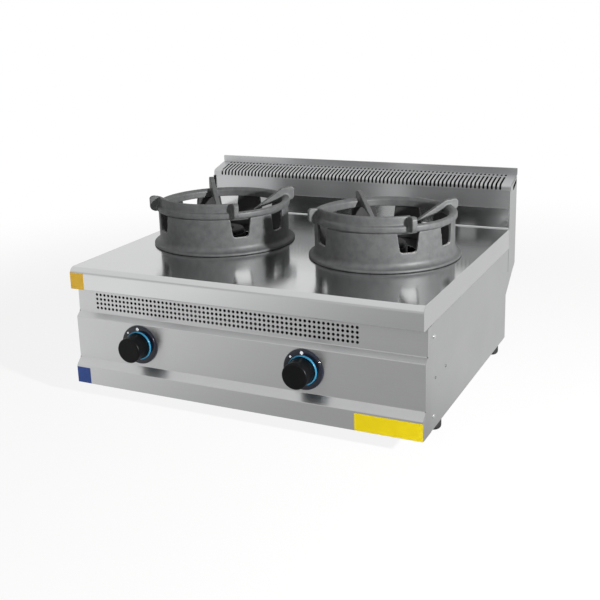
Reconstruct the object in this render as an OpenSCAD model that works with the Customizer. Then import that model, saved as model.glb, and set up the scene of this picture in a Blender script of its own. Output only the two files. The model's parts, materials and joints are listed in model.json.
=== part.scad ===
// Countertop gas wok range with two burners, in millimetres.
// The origin is on the bench, under the middle of the range. X runs to the right,
// Y runs to the back and Z runs up.
// Heights below are worked out from the top of the hob, and depths from the front
// face of its rim. The module on_bench() then stands every piece on its feet.

/* [Overall] */
// Width over the side skirts
range_w = 800; // [780:10:900]
// Depth of the hob, from its rim to the upstand at the back
hob_d = 634; // [620:1:680]
// Height of the body below the top of the hob
body_h = 264; // [260:1:290]
// Height of the feet
foot_h = 36; // [30:1:60]
// Depth of the body from the rim to its back wall
body_d = 614; // [600:1:616]

/* [Sheet metal] */
// Thickness of the hob sheet
hob_t = 2; // [1.5:0.1:2.5]
// Thickness of the casing sheets
sheet_t = 1.5; // [1:0.1:1.8]
// Gap between sheets that lap or meet
lap_gap = 0.2; // [0.1:0.05:0.25]
// Depth of a folded edge
fold_w = 12; // [8:1:14]

/* [Hob] */
// Height of the rim and the side skirts
rim_h = 48.5; // [44:0.5:52]
// Radius of the rounded front edge
rim_r = 10; // [4:1:14]
// Height of the upstand at the back
upstand_h = 48; // [40:1:56]
// Radius of each burner hole
burner_hole_r = 68; // [66:0.5:69]
// Height of the raised collar round a burner hole
collar_h = 6; // [4:0.5:8]
// Width of the raised collar
collar_w = 3; // [2:0.5:4]

/* [Front] */
// Setback of the band with the vent holes
vent_set = 23; // [18:0.5:26]
// Height of the band with the vent holes
vent_band_h = 55.8; // [52:0.2:58]
// Height of the sloping ledge under the vent band
upper_ledge_h = 10.2; // [6:0.2:12]
// Setback of the knob panel
panel_set = 11.2; // [8:0.2:14]
// Height of the knob panel
panel_h = 94.2; // [93:0.2:98]
// Height of the sloping ledge under the knob panel
lower_ledge_h = 14.3; // [8:0.1:16]
// How far the bottom band stands in front of the rim
band_out = 3.8; // [1:0.2:6]
// Depth of the front's side returns, from the rim
seam_y = 46.5; // [42:0.5:50]
// Diameter of a vent hole
vent_d = 5.4; // [3:0.2:6]
// Distance between vent holes
vent_pitch = 10; // [9:0.5:12]
// Rows of vent holes
vent_rows = 4; // [2:1:4]
// Clear width left of the vent holes
vent_left = 50.3; // [40:0.1:80]
// Clear width right of the vent holes
vent_right = 139; // [120:1:200]
// Drop from the rim's edge to the first row of vent holes
vent_drop = 14.2; // [12:0.2:16]

/* [Flue] */
// Setback of the flue's cheeks
cheek_y = 630; // [626:1:632]
// Outer depth of the flue's back wall, from the rim
flue_y = 694; // [685:1:710]
// Height of the bend above the slots' feet
flue_bend_z = 104.5; // [102:0.5:110]
// Height of the splash panel
splash_z = 91.8; // [88:0.2:94]
// Height at the back of the sloping top
flue_top_z = 118.6; // [116:0.2:122]
// Height of the flange above the sloping top
flange_h = 16.1; // [12:0.1:24]
// Lean of the grille's front leg
leg_lean = 1; // [0.4:0.1:1.2]
// Distance between slots
slot_pitch = 10; // [9:0.5:12]
// Width of a slot
slot_w = 4.7; // [4:0.1:5.2]
// Clear width beside the slots
slot_margin = 25; // [20:1:40]
// Length of the short slots at the back
short_slot = 8; // [5:0.5:10]
// Bridge between the long and the short slots
slot_bridge = 5; // [4:0.5:8]
// Drop of the flue's bottom edge below the hob
flue_drop = 97; // [90:1:104]
// Drop of the flue's sloping floor where it meets the body
flue_foot_drop = 157; // [150:1:170]
// Length of the hole in each cheek
cheek_hole_l = 36; // [30:1:38]
// Width of the hole in each cheek
cheek_hole_w = 11; // [8:0.5:12]
// Slant of the hole in each cheek, in degrees
cheek_hole_a = 26; // [20:1:28]

/* [Wok rings] */
// Setback of the ring centres
ring_y = 332; // [326:1:345]
// Outer radius of a ring stand's wall
stand_r = 151.5; // [148:0.5:156]
// Thickness of a ring stand's wall
stand_t = 7; // [5:0.5:8]
// Height of a ring stand
stand_h = 80.5; // [74:0.5:90]
// Width of the flared foot
flare_w = 13.9; // [8:0.1:16]
// Height of the flared foot
flare_h = 18; // [14:1:24]
// Width of a window at its top
window_w = 47; // [40:1:52]
// Width of a window at its foot
window_foot_w = 37; // [30:1:39]
// Height of a window
window_h = 42.5; // [36:0.5:44]
// Radius of a window's lower corners
window_r = 8; // [3:0.5:10]
// Turn of the left ring's windows, in degrees
window_turn_left = 34; // [25:1:40]
// Turn of the right ring's windows, in degrees
window_turn_right = 29.4; // [25:0.1:40]
// Turn of the left pan support, in degrees
support_turn_left = -5.5; // [-12:0.5:12]
// Turn of the right pan support, in degrees
support_turn_right = -3.5; // [-12:0.5:12]
// Height of the pan support's band
band_h = 15; // [12:0.5:18]
// How far the band stands out from the stand's wall
band_lip = 4.5; // [2:0.5:6]
// Radial width of the band
band_w = 11; // [9:0.5:13]
// Depth of the spigot that sits inside the stand
spigot_h = 5; // [3:0.5:7]
// Height of the splash guard above the band
guard_h = 20; // [14:1:24]
// Thickness of the splash guard
guard_t = 7; // [5:0.5:8]
// Thickness of a fin
fin_t = 11; // [8:0.5:14]
// Radius of the fins' inner tips
fin_tip_r = 71; // [68:0.5:76]
// Depth of the fins' tips below the stand's top edge
fin_tip_drop = 15; // [12:0.5:20]
// Height of the left ring's low fins above its stand's top edge
fin_rise_left = 34; // [26:0.5:35]
// Height of the right ring's low fins above its stand's top edge
fin_rise_right = 28; // [26:0.5:35]
// Height of the left ring's back fin above its stand's top edge
back_rise_left = 41.5; // [26:0.5:42]
// Height of the right ring's back fin above its stand's top edge
back_rise_right = 30; // [26:0.5:42]
// Height of the left ring's front lugs above its stand's top edge
lug_rise_left = 37; // [33:0.5:42]
// Height of the right ring's front lugs above its stand's top edge
lug_rise_right = 34.5; // [33:0.5:42]
// Outer radius of the fins
fin_out_r = 171; // [166:0.5:176]
// Clear gap between a pan support's spigot and its stand
ring_gap = 0.4; // [0.3:0.1:0.8]

/* [Knobs] */
// Place of the left knob, from the middle
knob_left_x = -236; // [-245:1:-200]
// Place of the right knob, from the middle
knob_right_x = 150.5; // [140:0.5:200]
// Drop of the knobs below the knob panel's top edge
knob_drop = 44.4; // [42:0.2:50]
// Radius of a knob
knob_r = 27.5; // [22:0.5:28]
// Length of a knob
knob_l = 37.5; // [28:0.5:40]
// Radius of a knob's front edge
knob_edge_r = 3.5; // [1:0.5:5]
// Thickness of a knob's wall
knob_wall = 3; // [2:0.5:4]
// Radius of a bezel
bezel_r = 42.5; // [38:0.5:42.5]
// Thickness of a bezel
bezel_t = 6.2; // [5:0.2:8]
// Rounding of a bezel's edge
bezel_edge_r = 3; // [1:0.5:4]
// Width of the coloured ring
ring_band_w = 4; // [3:0.5:5]
// Height of the coloured ring in front of the bezel
ring_band_h = 3.5; // [2:0.5:5]
// Gap round a knob inside the coloured ring
knob_gap = 0.6; // [0.4:0.1:1]
// Travel of a knob when it is pushed in
push_travel = 3; // [2:0.5:4]
// Radius of a spindle
spindle_r = 4; // [3:0.5:5]
// Depth of the flat on a spindle
spindle_flat = 1.2; // [0.8:0.1:1.4]
// Radial running clearance of spindles and sleeves
run_gap = 0.05; // [0.03:0.01:0.08]

/* [Gas train] */
// Radius of the gas pipe
pipe_r = 13.45; // [13.25:0.05:14]
// Radius of the threaded gas inlet
inlet_r = 13.2; // [12:0.1:13.2]
// Length of the inlet behind the body
inlet_l = 34; // [25:1:40]
// Length of the inlet's thread
thread_l = 18; // [14:1:22]
// Distance of the inlet from the right side
inlet_inset = 60; // [50:1:70]
// Height of the gas pipe above the body's floor
pipe_lift = 59; // [55:1:62]
// Depth of the gas pipe behind the rim
pipe_y = 52; // [50:0.5:56]
// Bore of the gas pipe
pipe_bore_r = 10; // [8:0.5:11]
// Radius of the supply pipes
supply_r = 5; // [4:0.5:6]
// Radius of the pilot pipes
pilot_pipe_r = 2; // [1.5:0.1:3]
// Radius of the thermocouple leads
lead_r = 1.5; // [1:0.1:2]
// Width of a valve body
valve_w = 44; // [38:1:48]
// Depth of a valve body
valve_d = 46; // [40:1:48]
// Height of a valve body
valve_h = 56; // [50:1:58]

/* [Burners] */
// Radius of a burner head
head_r = 50; // [46:0.5:52]
// Height of a burner head above the hob
head_h = 18; // [14:1:20]
// Radius of a burner's mixing chamber
chamber_r = 30; // [26:0.5:32]
// Wall of a burner casting
burner_wall = 6; // [4:0.5:8]
// Height of a burner cap's rim
cap_h = 10; // [8:0.5:14]
// Radius of a burner cap
cap_r = 46; // [42:0.5:48]
// Flame ports in a burner cap
cap_ports = 24; // [12:2:28]
// Drop of the mixing tubes' axis below the hob
tube_drop = 110; // [106:1:114]
// Radius of a mixing tube's throat
throat_r = 12; // [9:0.5:14]
// Radius of a mixing tube's mouth
mouth_r = 24; // [20:0.5:26]
// Wall of a mixing tube
tube_wall = 4; // [3:0.5:5]
// Radius of an injector
injector_r = 8; // [6:0.5:9]

/* [Feet] */
// Radius of a foot
foot_r = 16; // [14:0.5:24]
// Inset of the feet from the sides
foot_inset = 26; // [25:1:60]
// Setback of the front feet
foot_front_y = 140; // [100:1:200]
// Distance of the rear feet's centres from the back wall
foot_rear_inset = 24; // [22:1:54]
// Radius of a foot's stud
stud_r = 4; // [3:0.5:5]

/* [Labels] */
// Width of the square labels
label_w = 35; // [30:1:44]
// Height of the label on the rim
rim_label_h = 37; // [30:0.5:37]
// Height of the labels on the bottom band
band_label_h = 36; // [30:0.5:38]
// Width of the long label
long_label_w = 138; // [100:1:160]
// Thickness of a label
label_t = 0.3; // [0.2:0.1:0.5]

/* [Hidden] */
$fn = 64;

steel_c = "#c9cbcc";
polished_c = "#b5b7b8";
iron_c = "#5d5f5f";
black_c = "#17181a";
blue_c = "#3f8fb5";
brass_c = "#c2a25c";
zinc_c = "#9aa0a3";
copper_c = "#b8764e";
rubber_c = "#222222";
yellow_c = "#f3dc1f";
label_blue_c = "#2f5f9e";

// One overrun serves every cut
over = 1;
// Clear gap round pieces that stand in a hole of a fixed part
seat_gap = 0.3;

// Heights, from the top of the hob
rim_z = -rim_h;
vent_z = rim_z - vent_band_h;
panel_top_z = vent_z - upper_ledge_h;
panel_foot_z = panel_top_z - panel_h;
band_top_z = panel_foot_z - lower_ledge_h;
floor_z = -body_h;
knob_z = panel_top_z - knob_drop;
flange_z = flue_top_z + flange_h;

// Widths
half_w = range_w / 2;
skirt_in = half_w - hob_t;
panel_recess = 0.5;
panel_x = half_w - panel_recess;
panel_in = panel_x - sheet_t;
inside_x = panel_in - lap_gap;
flue_in = half_w - sheet_t - lap_gap;
ring_left_x = -range_w / 4;
ring_right_x = range_w / 4;

// Depths, from the front of the rim
hem_t = 2 * sheet_t;
rear_y = flue_y + hem_t;
bezel_front = panel_set - bezel_t;
knob_back = bezel_front - ring_band_h + knob_gap + push_travel / 2;
knob_front = knob_back - knob_l;
mid_y = (knob_front + rear_y) / 2;
splash_y = hob_d + hob_t + lap_gap;
leg_y = splash_y - lap_gap - sheet_t;

// The rest of this section holds sizes that have no range of their own.
// Casing details
joggle_h = 4;
joggle_drop = 14;
tongue_w = 32;
screw_in = 15.5;
screw_top_drop = 27.5;
screw_foot_lift = 26;
rivet_in = 25.5;
rail_rivet_y = 137;
rivet_drop = 47.5;
rivet_z = panel_top_z - rivet_drop;
return_w = 20;
lap_h = 20;
screw_r = 2;
screw_head_r = 4.5;
screw_head_h = 2.4;
screw_l = 8;
rivet_r = 1.6;
rivet_head_r = 3;
rivet_head_h = 1;
rear_screw_xs_share = [-0.75, -0.25, 0.25, 0.75];

// Stands a piece, modelled from the rim and the top of the hob, on the bench
module on_bench() {
    translate([0, -mid_y, foot_h + body_h]) children();
}

// Turns an outline drawn as depth and height into a piece that runs along X
module along_x(x0, x1) {
    translate([x0, 0, 0]) rotate([90, 0, 90]) linear_extrude(x1 - x0) children();
}

// Keeps a right-hand piece, or mirrors it to the left
module on_side(side) {
    if (side > 0) children();
    else mirror([1, 0, 0]) children();
}

// A round piece along Y, from y0 to y1
module round_y(r, y0, y1) {
    translate([0, y0, 0]) rotate([-90, 0, 0]) cylinder(r = r, h = y1 - y0);
}

// A round piece along X, from x0 to x1
module round_x(r, x0, x1) {
    translate([x0, 0, 0]) rotate([0, 90, 0]) cylinder(r = r, h = x1 - x0);
}

// A bent pipe is a tube swept along its points, with each corner rounded
pipe_sides = 10;
bend_steps = 4;
bend_l = 9;

function unit(v) = v / norm(v);

function corner(before, at, after) = [for (i = [0 : bend_steps])
    let (t = i / bend_steps)
    at + unit(before - at) * bend_l * pow(1 - t, 2) + unit(after - at) * bend_l * pow(t, 2)];

function rounded(points) = let (last = len(points) - 1) concat([points[0]],
    [for (i = [1 : last - 1]) each corner(points[i - 1], points[i], points[i + 1])],
    [points[last]]);

function headings(path) = let (last = len(path) - 1)
    [for (i = [0 : last]) unit(path[min(i + 1, last)] - path[max(i - 1, 0)])];

// Each ring's first direction is the last ring's, turned square to the new heading
function sides_from(heading, side, i = 0) = i == len(heading) ? []
    : let (next = unit(side - (side * heading[i]) * heading[i]))
    concat([next], sides_from(heading, next, i + 1));

module pipe_run(points, r) {
    path = rounded(points);
    heading = headings(path);
    side = sides_from(heading, unit([1, 1, 1]));
    rings = len(path);
    skin = [for (i = [0 : rings - 1], k = [0 : pipe_sides - 1])
        let (a = 360 * k / pipe_sides, across = cross(heading[i], side[i]))
        path[i] + r * (cos(a) * side[i] + sin(a) * across)];
    walls = [for (i = [0 : rings - 2], k = [0 : pipe_sides - 1])
        let (a = i * pipe_sides + k, b = i * pipe_sides + (k + 1) % pipe_sides)
        each [[a, a + pipe_sides, b], [b, a + pipe_sides, b + pipe_sides]]];
    start = [for (k = [0 : pipe_sides - 1]) k];
    finish = [for (k = [pipe_sides - 1 : -1 : 0]) (rings - 1) * pipe_sides + k];
    polyhedron(skin, concat([start, finish], walls), convexity = 8);
}

// Casing

// The hob's section: deck, rounded rim, its folded lower edge and the upstand
module hob_section() {
    translate([rim_r, -hob_t]) square([hob_d + hob_t - rim_r, hob_t]);
    translate([rim_r, -rim_r]) difference() {
        circle(r = rim_r);
        circle(r = rim_r - hob_t);
        translate([0, -rim_r - over]) square([rim_r + over, 2 * (rim_r + over)]);
        translate([-rim_r - over, -rim_r - over]) square([2 * (rim_r + over), rim_r + over]);
    }
    translate([0, rim_z]) square([hob_t, rim_h - rim_r]);
    translate([0, rim_z]) square([fold_w, hob_t]);
    translate([hob_d, -hob_t]) square([hob_t, upstand_h + hob_t]);
}

module skirt_outline() {
    skirt_back = cheek_y - lap_gap;
    translate([rim_r, rim_z]) square([skirt_back - rim_r, rim_h]);
    translate([0, rim_z]) square([rim_r, rim_h - rim_r]);
    translate([rim_r, -rim_r]) circle(r = rim_r);
}

module hob_top() {
    color(polished_c) on_bench() difference() {
        union() {
            along_x(-half_w, half_w) hob_section();
            along_x(skirt_in, half_w) skirt_outline();
            along_x(-half_w, -skirt_in) skirt_outline();
            for (x = [ring_left_x, ring_right_x]) {
                translate([x, ring_y, -hob_t])
                    cylinder(r = burner_hole_r + collar_w, h = collar_h + hob_t);
            }
        }
        for (x = [ring_left_x, ring_right_x]) {
            translate([x, ring_y, -hob_t - over])
                cylinder(r = burner_hole_r, h = collar_h + hob_t + 2 * over);
        }
        // The flue's cheeks lap past the deck's back corners
        for (x = [-half_w - over, flue_in]) {
            translate([x, cheek_y - lap_gap, rim_z - over])
                cube([sheet_t + lap_gap + over, hob_d, rim_h + upstand_h + 2 * over]);
        }
    }
}

fascia_top_z = rim_z - lap_gap;
fascia_points = [[vent_set, fascia_top_z], [vent_set, vent_z], [panel_set, panel_top_z],
    [panel_set, panel_foot_z], [-band_out, band_top_z], [-band_out, floor_z]];

// The front's section is the outer line and the same line one sheet further back
module fascia_section() {
    count = len(fascia_points);
    back = [for (i = [count - 1 : -1 : 0]) fascia_points[i] + [sheet_t, 0]];
    polygon(concat(fascia_points, back));
    translate([vent_set, fascia_top_z - sheet_t]) square([fold_w, sheet_t]);
    translate([-band_out, floor_z]) square([return_w, sheet_t]);
}

module fascia_return_outline() {
    polygon(concat(fascia_points, [[seam_y, floor_z], [seam_y, fascia_top_z]]));
}

tongue_x = inside_x - sheet_t;
tongue_top_z = rim_z - joggle_drop;
tongue_foot_z = floor_z + sheet_t + joggle_h;
side_screw_y = seam_y + screw_in;
side_screw_zs = [rim_z - screw_top_drop, floor_z + screw_foot_lift];
side_rivet_y = seam_y + rivet_in;

vent_x0 = -half_w + vent_left;
vent_columns = floor((range_w - vent_left - vent_right) / vent_pitch) + 1;

module side_hole(y, z, r) {
    translate([0, y, z]) round_x(r, tongue_x - over, half_w + over);
}

module knob_spots() {
    translate([knob_left_x, 0, knob_z]) children();
    translate([knob_right_x, 0, knob_z]) children();
}

module front_fascia() {
    hole_r = spindle_r + 2 * knob_gap;
    color(steel_c) on_bench() difference() {
        union() {
            along_x(-half_w, half_w) fascia_section();
            for (side = [-1, 1]) on_side(side) {
                along_x(half_w - sheet_t, half_w) fascia_return_outline();
                // The return steps inwards and runs on behind the side panel
                translate([tongue_x, seam_y - joggle_h, tongue_foot_z])
                    cube([half_w - tongue_x, joggle_h, tongue_top_z - tongue_foot_z]);
                translate([tongue_x, seam_y - joggle_h, tongue_foot_z])
                    cube([sheet_t, tongue_w, tongue_top_z - tongue_foot_z]);
            }
        }
        for (column = [0 : vent_columns - 1], row = [0 : vent_rows - 1]) {
            translate([vent_x0 + column * vent_pitch, 0, rim_z - vent_drop - row * vent_pitch])
                round_y(vent_d / 2, vent_set - over, vent_set + sheet_t + over, $fn = 20);
        }
        knob_spots() round_y(hole_r, panel_set - over, panel_set + sheet_t + over);
        for (side = [-1, 1]) on_side(side) {
            for (z = side_screw_zs) side_hole(side_screw_y, z, screw_r + run_gap);
            side_hole(side_rivet_y, rivet_z, rivet_r + run_gap);
        }
    }
}

slope_run = flue_y - body_d;
slope_rise = flue_foot_drop - flue_drop;
cheek_foot_z = -flue_drop - joggle_h * 2;
cheek_foot_y = body_d + slope_run * (cheek_foot_z + flue_foot_drop) / slope_rise;
panel_top_edge_z = rim_z - lap_gap;
side_points = [[seam_y + lap_gap, floor_z], [body_d, floor_z], [body_d, -flue_foot_drop],
    [cheek_foot_y - lap_gap, cheek_foot_z - lap_gap], [cheek_y - lap_gap, cheek_foot_z - lap_gap],
    [cheek_y - lap_gap, panel_top_edge_z], [seam_y + lap_gap, panel_top_edge_z]];

module side_panel(side) {
    flange_top = panel_top_edge_z + fold_w;
    flange_back = cheek_y - fold_w;
    color(steel_c) on_bench() on_side(side) difference() {
        union() {
            along_x(panel_in, panel_x) polygon(side_points);
            // The top edge steps in and stands up inside the hob's skirt
            translate([inside_x - sheet_t, seam_y + lap_gap, panel_top_edge_z - joggle_h])
                cube([panel_x - inside_x + sheet_t, flange_back - seam_y, joggle_h]);
            translate([inside_x - sheet_t, seam_y + lap_gap, panel_top_edge_z - joggle_h])
                cube([sheet_t, flange_back - seam_y, joggle_h + flange_top - panel_top_edge_z]);
            // The lower and rear edges fold inwards
            translate([panel_x - return_w, seam_y + lap_gap, floor_z])
                cube([return_w, body_d - seam_y - lap_gap, sheet_t]);
            translate([panel_x - return_w, body_d - sheet_t, floor_z])
                cube([return_w, sheet_t, body_h - flue_foot_drop - lap_h - lap_gap]);
        }
        for (z = side_screw_zs) side_hole(side_screw_y, z, screw_r + run_gap);
        side_hole(side_rivet_y, rivet_z, rivet_r + run_gap);
        side_hole(rail_rivet_y, rivet_z, rivet_r + run_gap);
    }
}

rear_panel_out = body_d - sheet_t - lap_gap;
rear_panel_in = rear_panel_out - sheet_t;
pan_z = floor_z + sheet_t + lap_gap;
pan_top_z = pan_z + sheet_t;
pipe_z = floor_z + pipe_lift;
inlet_x = half_w - inlet_inset;
rear_screw_z = -flue_foot_drop - lap_h / 2;

module rear_screw_spots() {
    for (share = rear_screw_xs_share) {
        translate([half_w * share, 0, rear_screw_z]) children();
    }
}

module rear_panel() {
    rear_top_z = -flue_foot_drop - lap_gap;
    color(steel_c) on_bench() difference() {
        translate([-inside_x, rear_panel_in, pan_z])
            cube([2 * inside_x, sheet_t, rear_top_z - pan_z]);
        translate([inlet_x, 0, pipe_z])
            round_y(pipe_r + seat_gap, rear_panel_in - over, rear_panel_out + over);
        rear_screw_spots()
            round_y(screw_r + run_gap, rear_panel_in - over, rear_panel_out + over);
    }
}

foot_rear_y = body_d - foot_rear_inset;

module foot_spots() {
    for (x = [-half_w + foot_inset, half_w - foot_inset], y = [foot_front_y, foot_rear_y]) {
        translate([x, y, 0]) children();
    }
}

module base_pan() {
    color(steel_c) on_bench() difference() {
        translate([-inside_x, sheet_t, pan_z])
            cube([2 * inside_x, rear_panel_in - lap_gap - sheet_t, sheet_t]);
        foot_spots() translate([0, 0, pan_z - over])
            cylinder(r = stud_r + run_gap, h = sheet_t + 2 * over);
    }
}

// Flue

module splash_panel() {
    foot = upstand_h - lap_h;
    color(polished_c) on_bench() translate([-flue_in, splash_y, foot])
        cube([2 * flue_in, sheet_t, splash_z - foot]);
}

grille_foot_z = splash_z - sheet_t;
grille_back_y = flue_y - sheet_t - lap_gap;
// The slotted sheet's section: a leaning leg and the sloping top. A tab between the
// cheeks runs down its back.
grille_points = [[leg_y, grille_foot_z], [leg_y + leg_lean, flue_bend_z],
    [grille_back_y, flue_top_z], [grille_back_y, flue_top_z - hem_t],
    [leg_y + leg_lean + sheet_t, flue_bend_z - sheet_t], [leg_y + sheet_t, grille_foot_z]];
slot_count = floor((range_w - 2 * slot_margin) / slot_pitch) + 1;
slot_x0 = -(slot_count - 1) * slot_pitch / 2;
slot_foot_z = grille_foot_z + sheet_t;
short_slot_back = grille_back_y - sheet_t - lap_gap;
short_slot_front = short_slot_back - short_slot;
long_slot_back = short_slot_front - slot_bridge;

module flue_grille() {
    color(steel_c) on_bench() difference() {
        union() {
            along_x(-half_w, half_w) polygon(grille_points);
            along_x(-flue_in, flue_in)
                translate([grille_back_y - sheet_t, flue_top_z - fold_w])
                    square([sheet_t, fold_w - sheet_t]);
        }
        for (i = [0 : slot_count - 1]) {
            translate([slot_x0 + i * slot_pitch - slot_w / 2, 0, slot_foot_z]) {
                translate([0, leg_y - over, 0])
                    cube([slot_w, long_slot_back - leg_y + over, flue_top_z]);
                translate([0, short_slot_front, flue_bend_z - slot_foot_z])
                    cube([slot_w, short_slot, flue_top_z]);
            }
        }
    }
}

top_slope = (flue_top_z - flue_bend_z) / (grille_back_y - leg_y - leg_lean);
cheek_tuck_y = leg_y + leg_lean + sheet_t + lap_gap;
cheek_top_drop = hem_t + lap_gap;
cheek_top_z = flue_bend_z - cheek_top_drop;
cheek_back_top_z = cheek_top_z + top_slope * (flue_y - cheek_tuck_y);
cheek_points = [[cheek_y, cheek_foot_z], [cheek_foot_y, cheek_foot_z], [flue_y, -flue_drop],
    [flue_y, cheek_back_top_z], [cheek_tuck_y, cheek_top_z],
    [cheek_tuck_y, grille_foot_z - lap_gap], [cheek_y, grille_foot_z - lap_gap]];
cheek_hole_reach = cheek_hole_w + (cheek_hole_l - cheek_hole_w) * cos(cheek_hole_a);
cheek_hole_y = flue_y - hem_t - cheek_hole_reach / 2;
cheek_hole_z = flue_bend_z - cheek_hole_w / 2;

module cheek_hole_outline() {
    straight = cheek_hole_l - cheek_hole_w;
    translate([-straight / 2, -cheek_hole_w / 2]) square([straight, cheek_hole_w]);
    translate([-straight / 2, 0]) circle(d = cheek_hole_w);
    translate([straight / 2, 0]) circle(d = cheek_hole_w);
}

module flue_cheek(side) {
    color(steel_c) on_bench() on_side(side) difference() {
        along_x(half_w - sheet_t, half_w) polygon(cheek_points);
        along_x(half_w - sheet_t - over, half_w + over)
            translate([cheek_hole_y, cheek_hole_z]) rotate(cheek_hole_a) cheek_hole_outline();
    }
}

flue_back_points = [[flue_y - sheet_t, flue_top_z + lap_gap], [flue_y, flue_top_z + lap_gap],
    [flue_y, -flue_drop], [body_d, -flue_foot_drop], [body_d, -flue_foot_drop - lap_h],
    [body_d - sheet_t, -flue_foot_drop - lap_h], [body_d - sheet_t, -flue_foot_drop + sheet_t / 2],
    [flue_y - sheet_t, -flue_drop + sheet_t / 2]];

// The wall's top edge is a flange that folds back and down over itself
module flange_section() {
    hem_foot = flue_top_z + lap_gap;
    translate([flue_y - sheet_t, hem_foot]) square([sheet_t, flange_z - hem_foot]);
    translate([flue_y - sheet_t, flange_z - sheet_t]) square([sheet_t + hem_t, sheet_t]);
    translate([rear_y - sheet_t, hem_foot]) square([sheet_t, flange_z - hem_foot]);
}

module flue_back() {
    color(steel_c) on_bench() difference() {
        union() {
            along_x(-flue_in + panel_recess, flue_in - panel_recess) polygon(flue_back_points);
            along_x(-half_w, half_w) flange_section();
        }
        rear_screw_spots() round_y(screw_r + run_gap, body_d - sheet_t - over, body_d + over);
    }
}

// Wok rings

// Outer line of the flared foot, as shares of its width and height
flare_shares = [[0, 1], [0.04, 0.83], [0.14, 0.66], [0.32, 0.5], [0.58, 0.39], [0.86, 0.33],
    [0.97, 0.26], [1, 0.17], [1, 0.08], [0.95, 0]];
// Inner line of the flared foot, from the bottom up
flare_in_shares = [[0.3, 0], [0.18, 0.3], [0.05, 0.62], [0, 0.85]];

module stand_section() {
    outer = [for (s = flare_shares) [stand_r + s[0] * flare_w, s[1] * flare_h]];
    inner = [for (s = flare_in_shares)
        [stand_r - stand_t + s[0] * flare_w, s[1] * flare_h]];
    polygon(concat([[stand_r, stand_h]], outer, inner, [[stand_r - stand_t, stand_h]]));
}

// A window is open at the stand's top edge, and the pan support closes it
module window_outline() {
    foot = stand_h - window_h;
    low = window_foot_w / 2 - window_r;
    polygon([[-window_w / 2, stand_h + over], [-window_foot_w / 2, foot + window_r],
        [-low, foot], [low, foot], [window_foot_w / 2, foot + window_r],
        [window_w / 2, stand_h + over]]);
    for (x = [-low, low]) translate([x, foot + window_r]) circle(r = window_r);
}

window_places = 9;
window_pitch = 360 / window_places;
plain_place = 7;

module ring_stand(x, turn) {
    color(iron_c) on_bench() translate([x, ring_y, 0]) difference() {
        rotate_extrude($fn = 120) stand_section();
        // Windows stand a ninth of a turn apart. The front place is plain, and so is the
        // one at the left, where no light shows through in the photograph.
        for (i = [1 : window_places - 1]) {
            if (i != plain_place) {
                rotate([0, 0, turn - window_pitch * (3 - i)])
                    translate([stand_r - stand_t * 2, 0, 0]) rotate([90, 0, 90])
                    linear_extrude(stand_t * 3) window_outline();
            }
        }
    }
}

support_in = stand_r - stand_t - ring_gap - guard_t * 0.8;
band_out_r = stand_r + band_lip;
band_in_r = band_out_r - band_w;
guard_out_r = stand_r - sheet_t;

module band_section() {
    // Underside on the stand, chamfered lip, flat top and the spigot inside the wall
    polygon([[stand_r - stand_t - ring_gap, stand_h - spigot_h],
        [stand_r - stand_t - ring_gap, stand_h], [stand_r, stand_h],
        [band_out_r - band_lip * 0.3, stand_h + band_lip * 0.4],
        [band_out_r, stand_h + band_lip * 0.9], [band_out_r, stand_h + band_h - band_lip * 0.6],
        [band_out_r - band_lip * 0.5, stand_h + band_h], [band_in_r, stand_h + band_h],
        [support_in, stand_h + band_h * 0.7], [support_in, stand_h - spigot_h]]);
}

module guard_section() {
    guard_top = stand_h + band_h + guard_h;
    polygon([[guard_out_r, stand_h + band_h * 0.6], [guard_out_r, guard_top - guard_t * 0.35],
        [guard_out_r - guard_t * 0.25, guard_top - guard_t * 0.08],
        [guard_out_r - guard_t * 0.5, guard_top],
        [guard_out_r - guard_t * 0.75, guard_top - guard_t * 0.08],
        [guard_out_r - guard_t, guard_top - guard_t * 0.35],
        [guard_out_r - guard_t, stand_h + band_h * 0.6]]);
}

// A fin's line runs from its tip up the slope that carries the wok, over its outer
// end and back under the band
fin_reach = fin_out_r - fin_tip_r;
fin_low = stand_h - fin_tip_drop;

function fin_point(share, z) = [fin_tip_r + fin_reach * share, z];

// The slope climbs to the low fins' height, and the end to the fin's own top
function fin_points(rise, top) = [
    fin_point(0, fin_low), fin_point(0.64, stand_h + rise * 0.8),
    fin_point(0.7, stand_h + rise * 0.92), fin_point(0.8, stand_h + top * 0.96),
    fin_point(0.9, stand_h + top), fin_point(0.96, stand_h + top * 0.98),
    fin_point(1, stand_h + top * 0.86), fin_point(1, stand_h + band_h * 0.7),
    fin_point(0.97, stand_h + band_h * 0.35), fin_point(0.9, stand_h + band_h * 0.12),
    fin_point(0.8, stand_h + band_h * 0.12), fin_point(0.8, stand_h + band_h * 0.3),
    fin_point(0.66, stand_h + band_h * 0.05), fin_point(0.32, stand_h - spigot_h * 1.2),
    fin_point(0.02, fin_low - spigot_h * 0.15)];

module fin(angle, rise, top) {
    rotate([0, 0, angle]) translate([0, fin_t / 2, 0]) rotate([90, 0, 0])
        linear_extrude(fin_t) polygon(fin_points(rise, top));
}

module pan_support(x, turn, rise, back, lug) {
    color(iron_c) on_bench() translate([x, ring_y, 0]) {
        rotate_extrude($fn = 120) band_section();
        rotate([0, 0, turn + 225]) rotate_extrude(angle = 90, $fn = 120) guard_section();
        fin(turn + 45, rise, rise);
        fin(turn + 135, rise, back);
        for (angle = [225, 315]) fin(turn + angle, rise, lug);
    }
}

// Burners

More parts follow.
